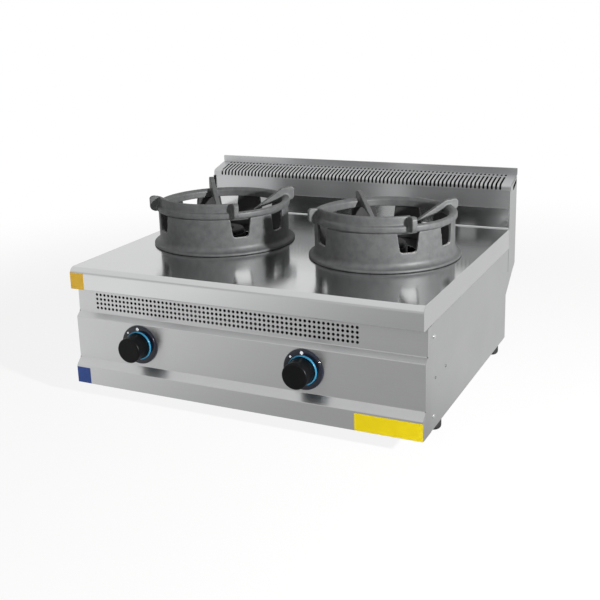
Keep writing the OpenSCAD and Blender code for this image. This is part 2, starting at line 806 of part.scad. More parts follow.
burner_fit = 2;
flange_r = burner_hole_r - burner_fit;
rail_top_z = -hob_t - rim_h - fold_w / 3;
flange_t = 5;
head_neck_z = rail_top_z + flange_t;
chamber_foot_z = -tube_drop - chamber_r + burner_wall;
boss_r = mouth_r + tube_wall / 2;
boss_y = head_r - burner_fit;
chamber_bore = chamber_r - burner_wall;
cap_spigot_r = chamber_bore - seat_gap;
cap_spigot_h = 8;
pilot_place_r = head_r + (burner_hole_r - head_r) / 2;
pilot_r = 3.5;
couple_r = 2.5;
pilot_angle = 200;
couple_angle = 160;

function around(r, angle) = [r * cos(angle), r * sin(angle)];

module burner_body(x) {
    color(iron_c) on_bench() translate([x, ring_y, 0]) difference() {
        union() {
            translate([0, 0, chamber_foot_z])
                cylinder(r = chamber_r, h = rail_top_z - chamber_foot_z + flange_t);
            translate([0, 0, rail_top_z]) cylinder(r = flange_r, h = flange_t);
            translate([0, 0, head_neck_z]) cylinder(r = head_r - burner_wall, h = -head_neck_z);
            cylinder(r = head_r, h = head_h);
            translate([0, 0, -tube_drop]) round_y(boss_r, -boss_y, 0);
        }
        translate([0, 0, chamber_foot_z + burner_wall])
            cylinder(r = chamber_bore, h = head_h - chamber_foot_z);
        translate([0, 0, -tube_drop]) round_y(chamber_bore - tube_wall, -boss_y - over, 0);
        translate([pilot_at_xy[0], pilot_at_xy[1], rail_top_z - over])
            cylinder(r = pilot_r + seat_gap, h = flange_t + 2 * over);
        translate([couple_at_xy[0], couple_at_xy[1], rail_top_z - over])
            cylinder(r = couple_r + seat_gap, h = flange_t + 2 * over);
    }
}

dome_h = 6;
port_w = 3;
port_h = 4;

module burner_cap(x) {
    color(iron_c) on_bench() translate([x, ring_y, head_h]) difference() {
        union() {
            rotate_extrude() polygon([[0, -cap_spigot_h], [cap_spigot_r, -cap_spigot_h],
                [cap_spigot_r, 0], [cap_r, 0], [cap_r, cap_h * 0.7], [cap_r * 0.94, cap_h],
                [cap_r * 0.5, cap_h], [cap_r * 0.42, cap_h + dome_h * 0.7],
                [cap_r * 0.25, cap_h + dome_h], [0, cap_h + dome_h]]);
        }
        for (i = [0 : cap_ports - 1]) {
            rotate([0, 0, i * 360 / cap_ports]) translate([cap_r * 0.7, -port_w / 2, -over])
                cube([cap_r, port_w, port_h + over]);
        }
    }
}

// Places along the mixing tube, from the rim
tube_back_y = ring_y - boss_y;
mouth_y = 182;
injector_y = 152;
injector_l = 18;
nozzle_l = 8;
nozzle_r = 4;
throat_share = 0.35;
arm_r = 3;
arm_x = mouth_r + tube_wall + arm_r;
mouth_flange_r = arm_x + 2 * arm_r;
mouth_flange_t = 4;

module mixing_tube(x) {
    length = tube_back_y - mouth_y;
    throat_at = length * throat_share;
    tail_r = chamber_bore - tube_wall;
    wall = tube_wall;
    color(iron_c) on_bench() translate([x, mouth_y, -tube_drop]) {
        rotate([-90, 0, 0]) rotate_extrude() polygon([[mouth_r, 0],
            [mouth_flange_r, 0], [mouth_flange_r, mouth_flange_t],
            [mouth_r + wall, mouth_flange_t], [throat_r + wall, throat_at],
            [tail_r + wall, length], [tail_r, length], [throat_r, throat_at]]);
        for (side = [-1, 1]) {
            translate([side * arm_x, 0, 0])
                round_y(arm_r, injector_y + bracket_t - mouth_y, mouth_flange_t / 2);
        }
    }
}

bracket_t = 3;
injector_rail_top_z = -tube_drop - mouth_r - tube_wall;

module injector_bracket(x) {
    bracket_w = 2 * (arm_x + arm_r);
    color(zinc_c) on_bench() translate([x, injector_y, 0]) difference() {
        translate([-bracket_w / 2, 0, injector_rail_top_z])
            cube([bracket_w, bracket_t, 2 * (-tube_drop - injector_rail_top_z) - tube_wall]);
        translate([0, 0, -tube_drop]) round_y(injector_r + run_gap, -over, bracket_t + over);
    }
}

module injector(x) {
    hex_r = injector_r * 1.4;
    hex_t = 6;
    orifice_r = 1.2;
    color(brass_c) on_bench() translate([x, injector_y, -tube_drop]) difference() {
        union() {
            translate([0, -hex_t, 0]) rotate([-90, 0, 0]) cylinder(r = hex_r, h = hex_t, $fn = 6);
            round_y(injector_r, 0, injector_l);
            round_y(nozzle_r, injector_l, injector_l + nozzle_l);
        }
        round_y(supply_r + run_gap, -hex_t - over, injector_l - nozzle_l);
        round_y(orifice_r, 0, injector_l + nozzle_l + over);
    }
}

// Gas train

valve_front = panel_set + sheet_t + 2 * knob_gap;
valve_neck_l = 12;
valve_neck_r = 11;
valve_top_z = knob_z + valve_h / 2;
valve_foot_z = knob_z - valve_h / 2;
sleeve_r = 7.5;
sleeve_l = 10;
sleeve_in = 4;
sleeve_y = valve_front + sleeve_in;
collar_r = 6.4;
spindle_collar_t = 2;
bore_spare = 3;
valve_bore_l = sleeve_in + sleeve_l + spindle_collar_t + push_travel + bore_spare;
valve_body_y = valve_front + valve_neck_l;
valve_back_y = valve_body_y + valve_d;
saddle_r = 9;
saddle_y = pipe_y;
outlet_y = 62;
outlet_h = 10;
outlet_r = 8;
pilot_out_dx = -14;

module gas_valve(x) {
    color(zinc_c) on_bench() translate([x, 0, 0]) difference() {
        union() {
            translate([-valve_w / 2, valve_body_y, valve_foot_z])
                cube([valve_w, valve_d, valve_h]);
            translate([0, 0, knob_z]) round_y(valve_neck_r, valve_front, valve_body_y);
            translate([0, saddle_y, pipe_z]) cylinder(r = saddle_r, h = valve_foot_z - pipe_z);
            translate([0, outlet_y, valve_top_z]) cylinder(r = outlet_r, h = outlet_h);
        }
        translate([0, 0, knob_z])
            round_y(sleeve_r + run_gap, valve_front - over, valve_front + valve_bore_l);
        translate([0, saddle_y, pipe_z]) round_x(pipe_r + run_gap, -valve_w, valve_w);
        translate([0, outlet_y, valve_top_z])
            cylinder(r = supply_r + run_gap, h = outlet_h + over);
    }
}

module valve_sleeve(x) {
    color(brass_c) on_bench() translate([x, 0, knob_z]) difference() {
        round_y(sleeve_r, sleeve_y, sleeve_y + sleeve_l);
        round_y(spindle_r + run_gap, sleeve_y - over, sleeve_y + sleeve_l + over);
    }
}

hub_depth = knob_l * 0.7;
spindle_front = knob_back - hub_depth;
flat_l = hub_depth + knob_gap;

module spindle_cut(r, y0, y1) {
    translate([-r - over, y0, spindle_r - spindle_flat]) cube([2 * (r + over), y1 - y0, r]);
}

module spindle(x) {
    collar_y = sleeve_y + sleeve_l + run_gap;
    color(zinc_c) on_bench() translate([x, 0, knob_z]) difference() {
        union() {
            round_y(spindle_r, spindle_front + run_gap, collar_y + spindle_collar_t);
            round_y(collar_r, collar_y, collar_y + spindle_collar_t);
        }
        spindle_cut(spindle_r, spindle_front - over, spindle_front + flat_l);
    }
}

// A hollow round knob with a hub that has the spindle's flat in its bore
module knob_piece(x) {
    hub_r = 8;
    rib_t = 2;
    face = knob_front;
    color(black_c) on_bench() translate([x, 0, knob_z]) {
        translate([0, knob_back, 0]) rotate([90, 0, 0]) rotate_extrude($fn = 96)
            polygon(concat([[0, knob_l], [0, knob_l - knob_wall],
                [knob_r - knob_wall, knob_l - knob_wall], [knob_r - knob_wall, 0], [knob_r, 0]],
                [for (a = [0 : 15 : 90]) [knob_r - knob_edge_r + knob_edge_r * cos(a),
                    knob_l - knob_edge_r + knob_edge_r * sin(a)]]));
        difference() {
            union() {
                round_y(hub_r, face + knob_wall, knob_back);
                for (a = [0, 90]) rotate([0, a, 0]) {
                    translate([-knob_r + knob_wall / 2, face + knob_wall, -rib_t / 2])
                        cube([2 * knob_r - knob_wall, knob_l / 2, rib_t]);
                }
            }
            difference() {
                round_y(spindle_r + run_gap, spindle_front, knob_back + over);
                translate([0, 0, run_gap]) spindle_cut(spindle_r, spindle_front, knob_back + 2 * over);
            }
        }
    }
}

bezel_floor_y = knob_back + push_travel + knob_gap;

module bezel(x) {
    color(black_c) on_bench() translate([x, panel_set, knob_z]) difference() {
        rotate([90, 0, 0]) rotate_extrude($fn = 96) polygon(concat([[0, 0], [bezel_r, 0]],
            [for (a = [0 : 15 : 90]) [bezel_r - bezel_edge_r + bezel_edge_r * cos(a),
                bezel_t - bezel_edge_r + bezel_edge_r * sin(a)]], [[0, bezel_t]]));
        // The knob dips into the bezel when it is pushed
        round_y(knob_r + knob_gap, -bezel_t - over, bezel_floor_y - panel_set, $fn = 96);
        round_y(spindle_r + 2 * knob_gap, -bezel_t, over);
    }
}

module bezel_ring(x) {
    in_r = knob_r + knob_gap;
    out_r = in_r + ring_band_w;
    color(blue_c) on_bench() translate([x, bezel_front, knob_z]) rotate([90, 0, 0])
        rotate_extrude($fn = 96) polygon([[in_r, 0], [out_r, 0], [out_r, ring_band_h * 0.5],
            [out_r - ring_band_w * 0.2, ring_band_h * 0.85],
            [out_r - ring_band_w * 0.5, ring_band_h], [in_r + ring_band_w * 0.25, ring_band_h],
            [in_r, ring_band_h * 0.8]]);
}

manifold_x0_share = -0.72;
end_wall = 12;

module gas_manifold() {
    x0 = half_w * manifold_x0_share;
    inlet_y = body_d + inlet_l;
    color(zinc_c) on_bench() difference() {
        union() {
            translate([0, pipe_y, pipe_z]) round_x(pipe_r, x0, inlet_x);
            translate([inlet_x, pipe_y, pipe_z]) sphere(r = pipe_r);
            translate([inlet_x, 0, pipe_z]) round_y(pipe_r, pipe_y, inlet_y - thread_l);
            translate([inlet_x, 0, pipe_z]) round_y(inlet_r, pipe_y, inlet_y);
        }
        translate([0, pipe_y, pipe_z]) round_x(pipe_bore_r, x0 + end_wall, inlet_x);
        translate([inlet_x, pipe_y, pipe_z]) sphere(r = pipe_bore_r);
        translate([inlet_x, 0, pipe_z]) round_y(pipe_bore_r, pipe_y, inlet_y + over);
    }
}

support_w = 24;
support_xs_share = [-0.15, 0.62];
support_y_share = 0.65;

module manifold_support() {
    support_d = 2 * (pipe_r + tube_wall);
    translate([-support_w / 2, -support_d / 2, pan_top_z - pipe_z]) difference() {
        cube([support_w, support_d, pipe_z - pan_top_z]);
        translate([0, support_d / 2, pipe_z - pan_top_z])
            round_x(pipe_r + run_gap, -over, support_w + over);
    }
}

module manifold_brackets() {
    color(zinc_c) on_bench() {
        for (share = support_xs_share) {
            translate([half_w * share, pipe_y, pipe_z]) manifold_support();
        }
        translate([inlet_x, body_d * support_y_share, pipe_z])
            rotate([0, 0, 90]) manifold_support();
    }
}

pipe_seat = 6;

function supply_points(knob_x, burner_x) = [
    [knob_x, outlet_y, valve_top_z + run_gap],
    [knob_x, outlet_y, -tube_drop],
    [burner_x, injector_y - 2 * nozzle_l - outlet_h, -tube_drop],
    [burner_x, injector_y - pipe_seat + injector_l - nozzle_l - run_gap, -tube_drop]];

module supply_pipe(knob_x, burner_x) {
    color(copper_c) on_bench() pipe_run(supply_points(knob_x, burner_x), supply_r);
}

pilot_run_drop = 95;
pilot_start_y = 50;
pilot_bend_y = 90;
pilot_at_xy = around(pilot_place_r, pilot_angle);
couple_at_xy = around(pilot_place_r, couple_angle);
stem_l = 8;
stem_foot_z = rail_top_z - stem_l;

function pilot_points(knob_x, burner_x) = [
    [knob_x + pilot_out_dx, pilot_start_y, valve_top_z],
    [knob_x + pilot_out_dx, pilot_start_y, -pilot_run_drop],
    [burner_x + pilot_at_xy[0], pilot_bend_y, -pilot_run_drop],
    [burner_x + pilot_at_xy[0], ring_y + pilot_at_xy[1], -pilot_run_drop],
    [burner_x + pilot_at_xy[0], ring_y + pilot_at_xy[1], stem_foot_z]];

module pilot_pipe(knob_x, burner_x) {
    color(copper_c) on_bench() pipe_run(pilot_points(knob_x, burner_x), pilot_pipe_r);
}

pilot_top_z = 14;
nut_r = 6;
nut_h = 5;
hood_r = 5.5;
hood_h = 6;

module pilot_burner(x) {
    color(zinc_c) on_bench()
        translate([x + pilot_at_xy[0], ring_y + pilot_at_xy[1], 0]) difference() {
            union() {
                translate([0, 0, stem_foot_z]) cylinder(r = pilot_r, h = pilot_top_z - stem_foot_z);
                translate([0, 0, head_neck_z]) cylinder(r = nut_r, h = nut_h, $fn = 6);
                translate([0, 0, pilot_top_z - hood_h]) cylinder(r = hood_r, h = hood_h);
            }
            translate([0, 0, pilot_top_z - hood_h / 2])
                cylinder(r = pilot_r, h = hood_h);
        }
}

couple_top_z = 16;
couple_nut_r = 5;

module thermocouple(x) {
    tip_r = couple_r * 0.7;
    color(copper_c) on_bench()
        translate([x + couple_at_xy[0], ring_y + couple_at_xy[1], 0]) {
            translate([0, 0, stem_foot_z]) cylinder(r = couple_r, h = -stem_foot_z);
            cylinder(r = tip_r, h = couple_top_z);
            translate([0, 0, head_neck_z]) cylinder(r = couple_nut_r, h = nut_h, $fn = 6);
        }
}

lead_run_drop = 122;
lead_dx = -64;
lead_bend_y = 110;
lead_out_l = 8;

function lead_points(knob_x, burner_x) = [
    [knob_x + pilot_out_dx, valve_back_y, knob_z + valve_h / 4],
    [knob_x + pilot_out_dx, valve_back_y + lead_out_l, knob_z + valve_h / 4],
    [burner_x + lead_dx, lead_bend_y, -lead_run_drop],
    [burner_x + lead_dx, ring_y + couple_at_xy[1], -lead_run_drop],
    [burner_x + couple_at_xy[0], ring_y + couple_at_xy[1], -pilot_run_drop],
    [burner_x + couple_at_xy[0], ring_y + couple_at_xy[1], stem_foot_z]];

module thermocouple_lead(knob_x, burner_x) {
    color(copper_c) on_bench() pipe_run(lead_points(knob_x, burner_x), lead_r);
}

// Supports inside the body

rail_w = 26;
rail_h = 18;
rail_dy = 50;

// An inverted channel from side to side
module channel(y0, width, top_z, height) {
    translate([-inside_x, y0, top_z - height]) difference() {
        cube([2 * inside_x, width, height]);
        translate([-over, sheet_t, -over])
            cube([2 * (inside_x + over), width - 2 * sheet_t, height - sheet_t + over]);
    }
}

module burner_rails() {
    color(zinc_c) on_bench() {
        for (y = [ring_y - rail_dy - rail_w / 2, ring_y + rail_dy - rail_w / 2]) {
            channel(y, rail_w, rail_top_z, rail_h);
        }
    }
}

tube_rail_h = 48;
tube_rail_front_y = 126;
tube_rail_w = 40;

module tube_rail() {
    // Each end has a tab for the rivet through the side panel
    tab_w = 16;
    color(zinc_c) on_bench() difference() {
        union() {
            channel(tube_rail_front_y, tube_rail_w, injector_rail_top_z, tube_rail_h);
            for (side = [-1, 1]) on_side(side)
                translate([inside_x - sheet_t, tube_rail_front_y, injector_rail_top_z - tube_rail_h])
                    cube([sheet_t, tab_w + sheet_t, tube_rail_h]);
        }
        for (side = [-1, 1]) on_side(side) side_hole(rail_rivet_y, rivet_z, rivet_r + run_gap);
    }
}

// Feet and fasteners

stud_in = 26;
stud_top = 10;

module feet() {
    edge_share = 0.5;
    // The lower edge is well rounded
    foot_points = concat([[0, 0]], [for (a = [-90 : 15 : 0])
        [foot_r * (1 - edge_share) + foot_r * edge_share * cos(a),
            foot_r * edge_share * (1 + sin(a))]], [[foot_r, foot_h], [0, foot_h]]);
    color(rubber_c) on_bench() foot_spots() translate([0, 0, floor_z - foot_h]) difference() {
        rotate_extrude() polygon(foot_points);
        translate([0, 0, foot_h - stud_in - run_gap])
            cylinder(r = stud_r + run_gap, h = stud_in + run_gap + over);
    }
}

module foot_studs() {
    hex_r = stud_r * 1.9;
    hex_h = stud_r * 1.5;
    color(zinc_c) on_bench() foot_spots() {
        translate([0, 0, floor_z - stud_in])
            cylinder(r = stud_r, h = pan_top_z - floor_z + stud_in + stud_top);
        translate([0, 0, pan_top_z]) cylinder(r = hex_r, h = hex_h, $fn = 6);
    }
}

// A round-headed screw along +X, its head's seat at the origin
module screw() {
    round_x(screw_r, -screw_l, 0);
    rotate([0, 90, 0]) rotate_extrude() polygon([[0, 0], [screw_head_r, 0],
        [screw_head_r * 0.93, screw_head_h * 0.5], [screw_head_r * 0.7, screw_head_h * 0.85],
        [screw_head_r * 0.35, screw_head_h], [0, screw_head_h]]);
}

module rivet() {
    round_x(rivet_r, -screw_l, 0);
    rotate([0, 90, 0]) rotate_extrude() polygon([[0, 0], [rivet_head_r, 0],
        [rivet_head_r * 0.8, rivet_head_h * 0.8], [rivet_head_r * 0.4, rivet_head_h],
        [0, rivet_head_h]]);
}

module side_screws() {
    color(zinc_c) on_bench() for (side = [-1, 1], z = side_screw_zs) {
        on_side(side) translate([panel_x, side_screw_y, z]) screw();
    }
}

module side_rivets() {
    color(zinc_c) on_bench() for (side = [-1, 1], y = [side_rivet_y, rail_rivet_y]) {
        on_side(side) translate([panel_x, y, rivet_z]) rivet();
    }
}

module rear_screws() {
    color(zinc_c) on_bench() rear_screw_spots() translate([0, body_d, 0])
        rotate([0, 0, 90]) screw();
}

// Labels, all plain

label_edge = 1;

module rim_label() {
    color(yellow_c) on_bench() translate([-half_w, -label_t, rim_z + label_edge])
        cube([label_w, label_t, rim_label_h]);
}

module band_label_left() {
    color(label_blue_c) on_bench()
        translate([-half_w, -band_out - label_t, floor_z + label_edge])
        cube([label_w, label_t, band_label_h]);
}

module band_label_right() {
    color(yellow_c) on_bench()
        translate([half_w - long_label_w, -band_out - label_t, floor_z + label_edge])
        cube([long_label_w, label_t, band_label_h]);
}

hob_top();
front_fascia();
side_panel(-1);  // side_panel_left
side_panel(1);  // side_panel_right
rear_panel();
base_pan();
splash_panel();
flue_grille();
flue_cheek(-1);  // flue_cheek_left
flue_cheek(1);  // flue_cheek_right
flue_back();
ring_stand(ring_left_x, window_turn_left);  // ring_stand_left
ring_stand(ring_right_x, window_turn_right);  // ring_stand_right
pan_support(ring_left_x, support_turn_left, fin_rise_left, back_rise_left, lug_rise_left);  // pan_support_left
pan_support(ring_right_x, support_turn_right, fin_rise_right, back_rise_right,  // pan_support_right
        lug_rise_right);
burner_body(ring_left_x);  // burner_body_left
burner_body(ring_right_x);  // burner_body_right
burner_cap(ring_left_x);  // burner_cap_left
burner_cap(ring_right_x);  // burner_cap_right
mixing_tube(ring_left_x);  // mixing_tube_left
mixing_tube(ring_right_x);  // mixing_tube_right
injector(ring_left_x);  // injector_left
injector(ring_right_x);  // injector_right
injector_bracket(ring_left_x);  // injector_bracket_left
injector_bracket(ring_right_x);  // injector_bracket_right
supply_pipe(knob_left_x, ring_left_x);  // supply_pipe_left
supply_pipe(knob_right_x, ring_right_x);  // supply_pipe_right
pilot_burner(ring_left_x);  // pilot_burner_left
pilot_burner(ring_right_x);  // pilot_burner_right
pilot_pipe(knob_left_x, ring_left_x);  // pilot_pipe_left
pilot_pipe(knob_right_x, ring_right_x);  // pilot_pipe_right
thermocouple(ring_left_x);  // thermocouple_left
thermocouple(ring_right_x);  // thermocouple_right
thermocouple_lead(knob_left_x, ring_left_x);  // thermocouple_lead_left
thermocouple_lead(knob_right_x, ring_right_x);  // thermocouple_lead_right
gas_valve(knob_left_x);  // gas_valve_left
gas_valve(knob_right_x);  // gas_valve_right
valve_sleeve(knob_left_x);  // valve_sleeve_left
valve_sleeve(knob_right_x);  // valve_sleeve_right
spindle(knob_left_x);  // spindle_left
spindle(knob_right_x);  // spindle_right
knob_piece(knob_left_x);  // knob_left
knob_piece(knob_right_x);  // knob_right
bezel(knob_left_x);  // bezel_left
bezel(knob_right_x);  // bezel_right
bezel_ring(knob_left_x);  // bezel_ring_left
bezel_ring(knob_right_x);  // bezel_ring_right
gas_manifold();
manifold_brackets();
burner_rails();
tube_rail();
feet();
foot_studs();
side_screws();
side_rivets();
rear_screws();
rim_label();
band_label_left();
band_label_right();
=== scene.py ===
# Countertop gas wok range with two burners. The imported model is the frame: this script
# gives its sheets their bends, its castings their skin and each piece its material.
import json
import math
import bpy
import bmesh
from mathutils import Matrix, Vector

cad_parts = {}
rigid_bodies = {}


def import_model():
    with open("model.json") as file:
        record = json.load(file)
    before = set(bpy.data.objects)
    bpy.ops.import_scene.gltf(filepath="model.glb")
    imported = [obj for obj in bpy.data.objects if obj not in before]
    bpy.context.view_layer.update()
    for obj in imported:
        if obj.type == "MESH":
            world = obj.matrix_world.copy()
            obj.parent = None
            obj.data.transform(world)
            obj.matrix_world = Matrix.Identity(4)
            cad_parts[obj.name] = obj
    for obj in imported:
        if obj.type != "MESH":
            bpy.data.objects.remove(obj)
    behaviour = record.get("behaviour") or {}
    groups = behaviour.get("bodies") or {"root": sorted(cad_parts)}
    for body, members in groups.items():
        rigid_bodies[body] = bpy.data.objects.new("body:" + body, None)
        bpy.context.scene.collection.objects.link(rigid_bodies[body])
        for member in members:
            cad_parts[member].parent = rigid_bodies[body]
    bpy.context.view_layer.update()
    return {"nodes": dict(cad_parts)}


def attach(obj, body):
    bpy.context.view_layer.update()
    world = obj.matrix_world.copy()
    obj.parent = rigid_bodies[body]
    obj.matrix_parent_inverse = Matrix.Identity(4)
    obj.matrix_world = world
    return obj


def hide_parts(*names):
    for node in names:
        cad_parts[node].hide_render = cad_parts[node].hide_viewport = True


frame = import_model()
scene = bpy.context.scene
print("frame loaded:", len(frame["nodes"]), "nodes")

# Sizes below are in millimetres from the rim's face (y) and the top of the hob (z)
rimY, deckZ = -331.55, 300.0
toFrame = Matrix.Scale(0.001, 4) @ Matrix.Translation((0, rimY, deckZ))
near = 1e-4  # places this near each other are one


def linear(hexColour):
    values = [int(hexColour[i:i + 2], 16) / 255 for i in (1, 3, 5)]
    return [v / 12.92 if v <= 0.04045 else ((v + 0.055) / 1.055) ** 2.4 for v in values] + [1]


# Materials

# Noise spreads over about this span of values, and softer noise over a narrower one
noiseSpan, softSpan, toneMargin = (0.3, 0.7), (0.35, 0.65), 0.12
fineShare = 0.6  # how much of the finer grain the sharper noises hold
lineDepth = 0.0001  # of the brushed lines, in metres
quarterTurn = 0.25  # turns the highlights' stretch across the brushed lines


def addNode(tree, kind, settings={}, inputs={}):
    # A node with its settings; an input is a value, or the output that feeds it
    node = tree.nodes.new(kind)
    for name, value in settings.items():
        setattr(node, name, value)
    for name, value in inputs.items():
        if isinstance(value, bpy.types.NodeSocket):
            tree.links.new(value, node.inputs[name])
        else:
            node.inputs[name].default_value = value
    return node


def spread(tree, value, span, levels=(0, 1), kind="LINEAR"):
    # Takes a value from a span to a pair of levels
    return addNode(tree, "ShaderNodeMapRange", {"interpolation_type": kind}, {
        "Value": value, "From Min": span[0], "From Max": span[1],
        "To Min": levels[0], "To Max": levels[1]}).outputs[0]


def fade(tree, value, span, levels=(0, 1)):
    # The same with soft ends
    return spread(tree, value, span, levels, "SMOOTHSTEP")


def calculate(tree, operation, *values, clamp=False):
    return addNode(tree, "ShaderNodeMath", {"operation": operation, "use_clamp": clamp},
                   dict(enumerate(values))).outputs[0]


def blend(tree, share, one, two):
    # One value where the share is 0, the other where it is 1
    return addNode(tree, "ShaderNodeMix", {"data_type": "FLOAT"}, {
        0: share, 2: one, 3: two}).outputs[0]


def blendColours(tree, share, colours):
    return addNode(tree, "ShaderNodeMix", {"data_type": "RGBA"}, {
        0: share, 6: linear(colours[0]), 7: linear(colours[1])}).outputs[2]


def noise(tree, place, size, detail, roughness=0.5):
    # Noise whose features have a size in millimetres
    return addNode(tree, "ShaderNodeTexNoise", inputs={
        "Vector": place, "Scale": 1000 / size, "Detail": detail,
        "Roughness": roughness}).outputs[0]


def newMaterial(name):
    material = bpy.data.materials.new(name)
    material.use_nodes = True
    material.node_tree.nodes.clear()
    return material, material.node_tree


def finishMaterial(tree, **inputs):
    shader = addNode(tree, "ShaderNodeBsdfPrincipled", inputs={
        key.replace("_", " "): value for key, value in inputs.items()})
    addNode(tree, "ShaderNodeOutputMaterial", inputs={"Surface": shader.outputs[0]})


def steelSheet(name, values):
    # Stainless steel sheet. Rolling and brushing leave fine lines one way, which stretch
    # reflections across them; handling leaves wide soft patches.
    material, tree = newMaterial(name)
    place = addNode(tree, "ShaderNodeTexCoord").outputs["Object"]
    long, wide = 1000 / values["lineLength"], 1000 / values["lineWidth"]
    scale = {"X": (long, wide, wide), "Y": (wide, long, wide)}[values["along"]]
    stretched = addNode(tree, "ShaderNodeMapping", inputs={
        "Vector": place, "Scale": scale}).outputs[0]
    lines = noise(tree, stretched, 1000, 3, fineShare)
    patches = noise(tree, place, values["patchSize"], 2)
    lineRough = spread(tree, lines, noiseSpan, values["rough"])
    patchRough = spread(tree, patches, softSpan, (-values["patchRough"], values["patchRough"]))
    rough = calculate(tree, "ADD", lineRough, patchRough, clamp=True)
    colour = blendColours(tree, lines, values["colours"])
    bump = addNode(tree, "ShaderNodeBump", inputs={
        "Height": lines, "Strength": values["bump"], "Distance": lineDepth}).outputs[0]
    lineWay = addNode(tree, "ShaderNodeCombineXYZ", inputs={values["along"]: 1.0}).outputs[0]
    finishMaterial(tree, Base_Color=colour, Metallic=1.0, Roughness=rough, Normal=bump,
                   Tangent=lineWay, Anisotropic=values["anisotropy"],
                   Anisotropic_Rotation=quarterTurn)
    return material


def grainy(name, values):
    # Cast, moulded, plated or printed: fine grain over wider, fainter unevenness
    material, tree = newMaterial(name)
    place = addNode(tree, "ShaderNodeTexCoord").outputs["Object"]
    grain = noise(tree, place, values["grain"], 4, fineShare)
    uneven = noise(tree, place, values["patch"], 3)
    height = calculate(tree, "MULTIPLY_ADD", uneven,
                       values["patchHeight"] / values["grainHeight"], grain)
    tone = calculate(tree, "MULTIPLY_ADD", grain, values["speckle"], uneven, clamp=True)
    middle = 0.5 * values["speckle"]
    toneSpan = (softSpan[0] + middle - toneMargin, softSpan[1] + middle + toneMargin)
    colour = blendColours(tree, spread(tree, tone, toneSpan), values["colours"])
    rough = spread(tree, grain, noiseSpan, values["rough"])
    bump = addNode(tree, "ShaderNodeBump", inputs={
        "Height": height, "Strength": values["bump"],
        "Distance": values["grainHeight"] / 1000}).outputs[0]
    finishMaterial(tree, Base_Color=colour, Metallic=values["metallic"], Roughness=rough,
                   Normal=bump, **values.get("shader", {}))
    return material


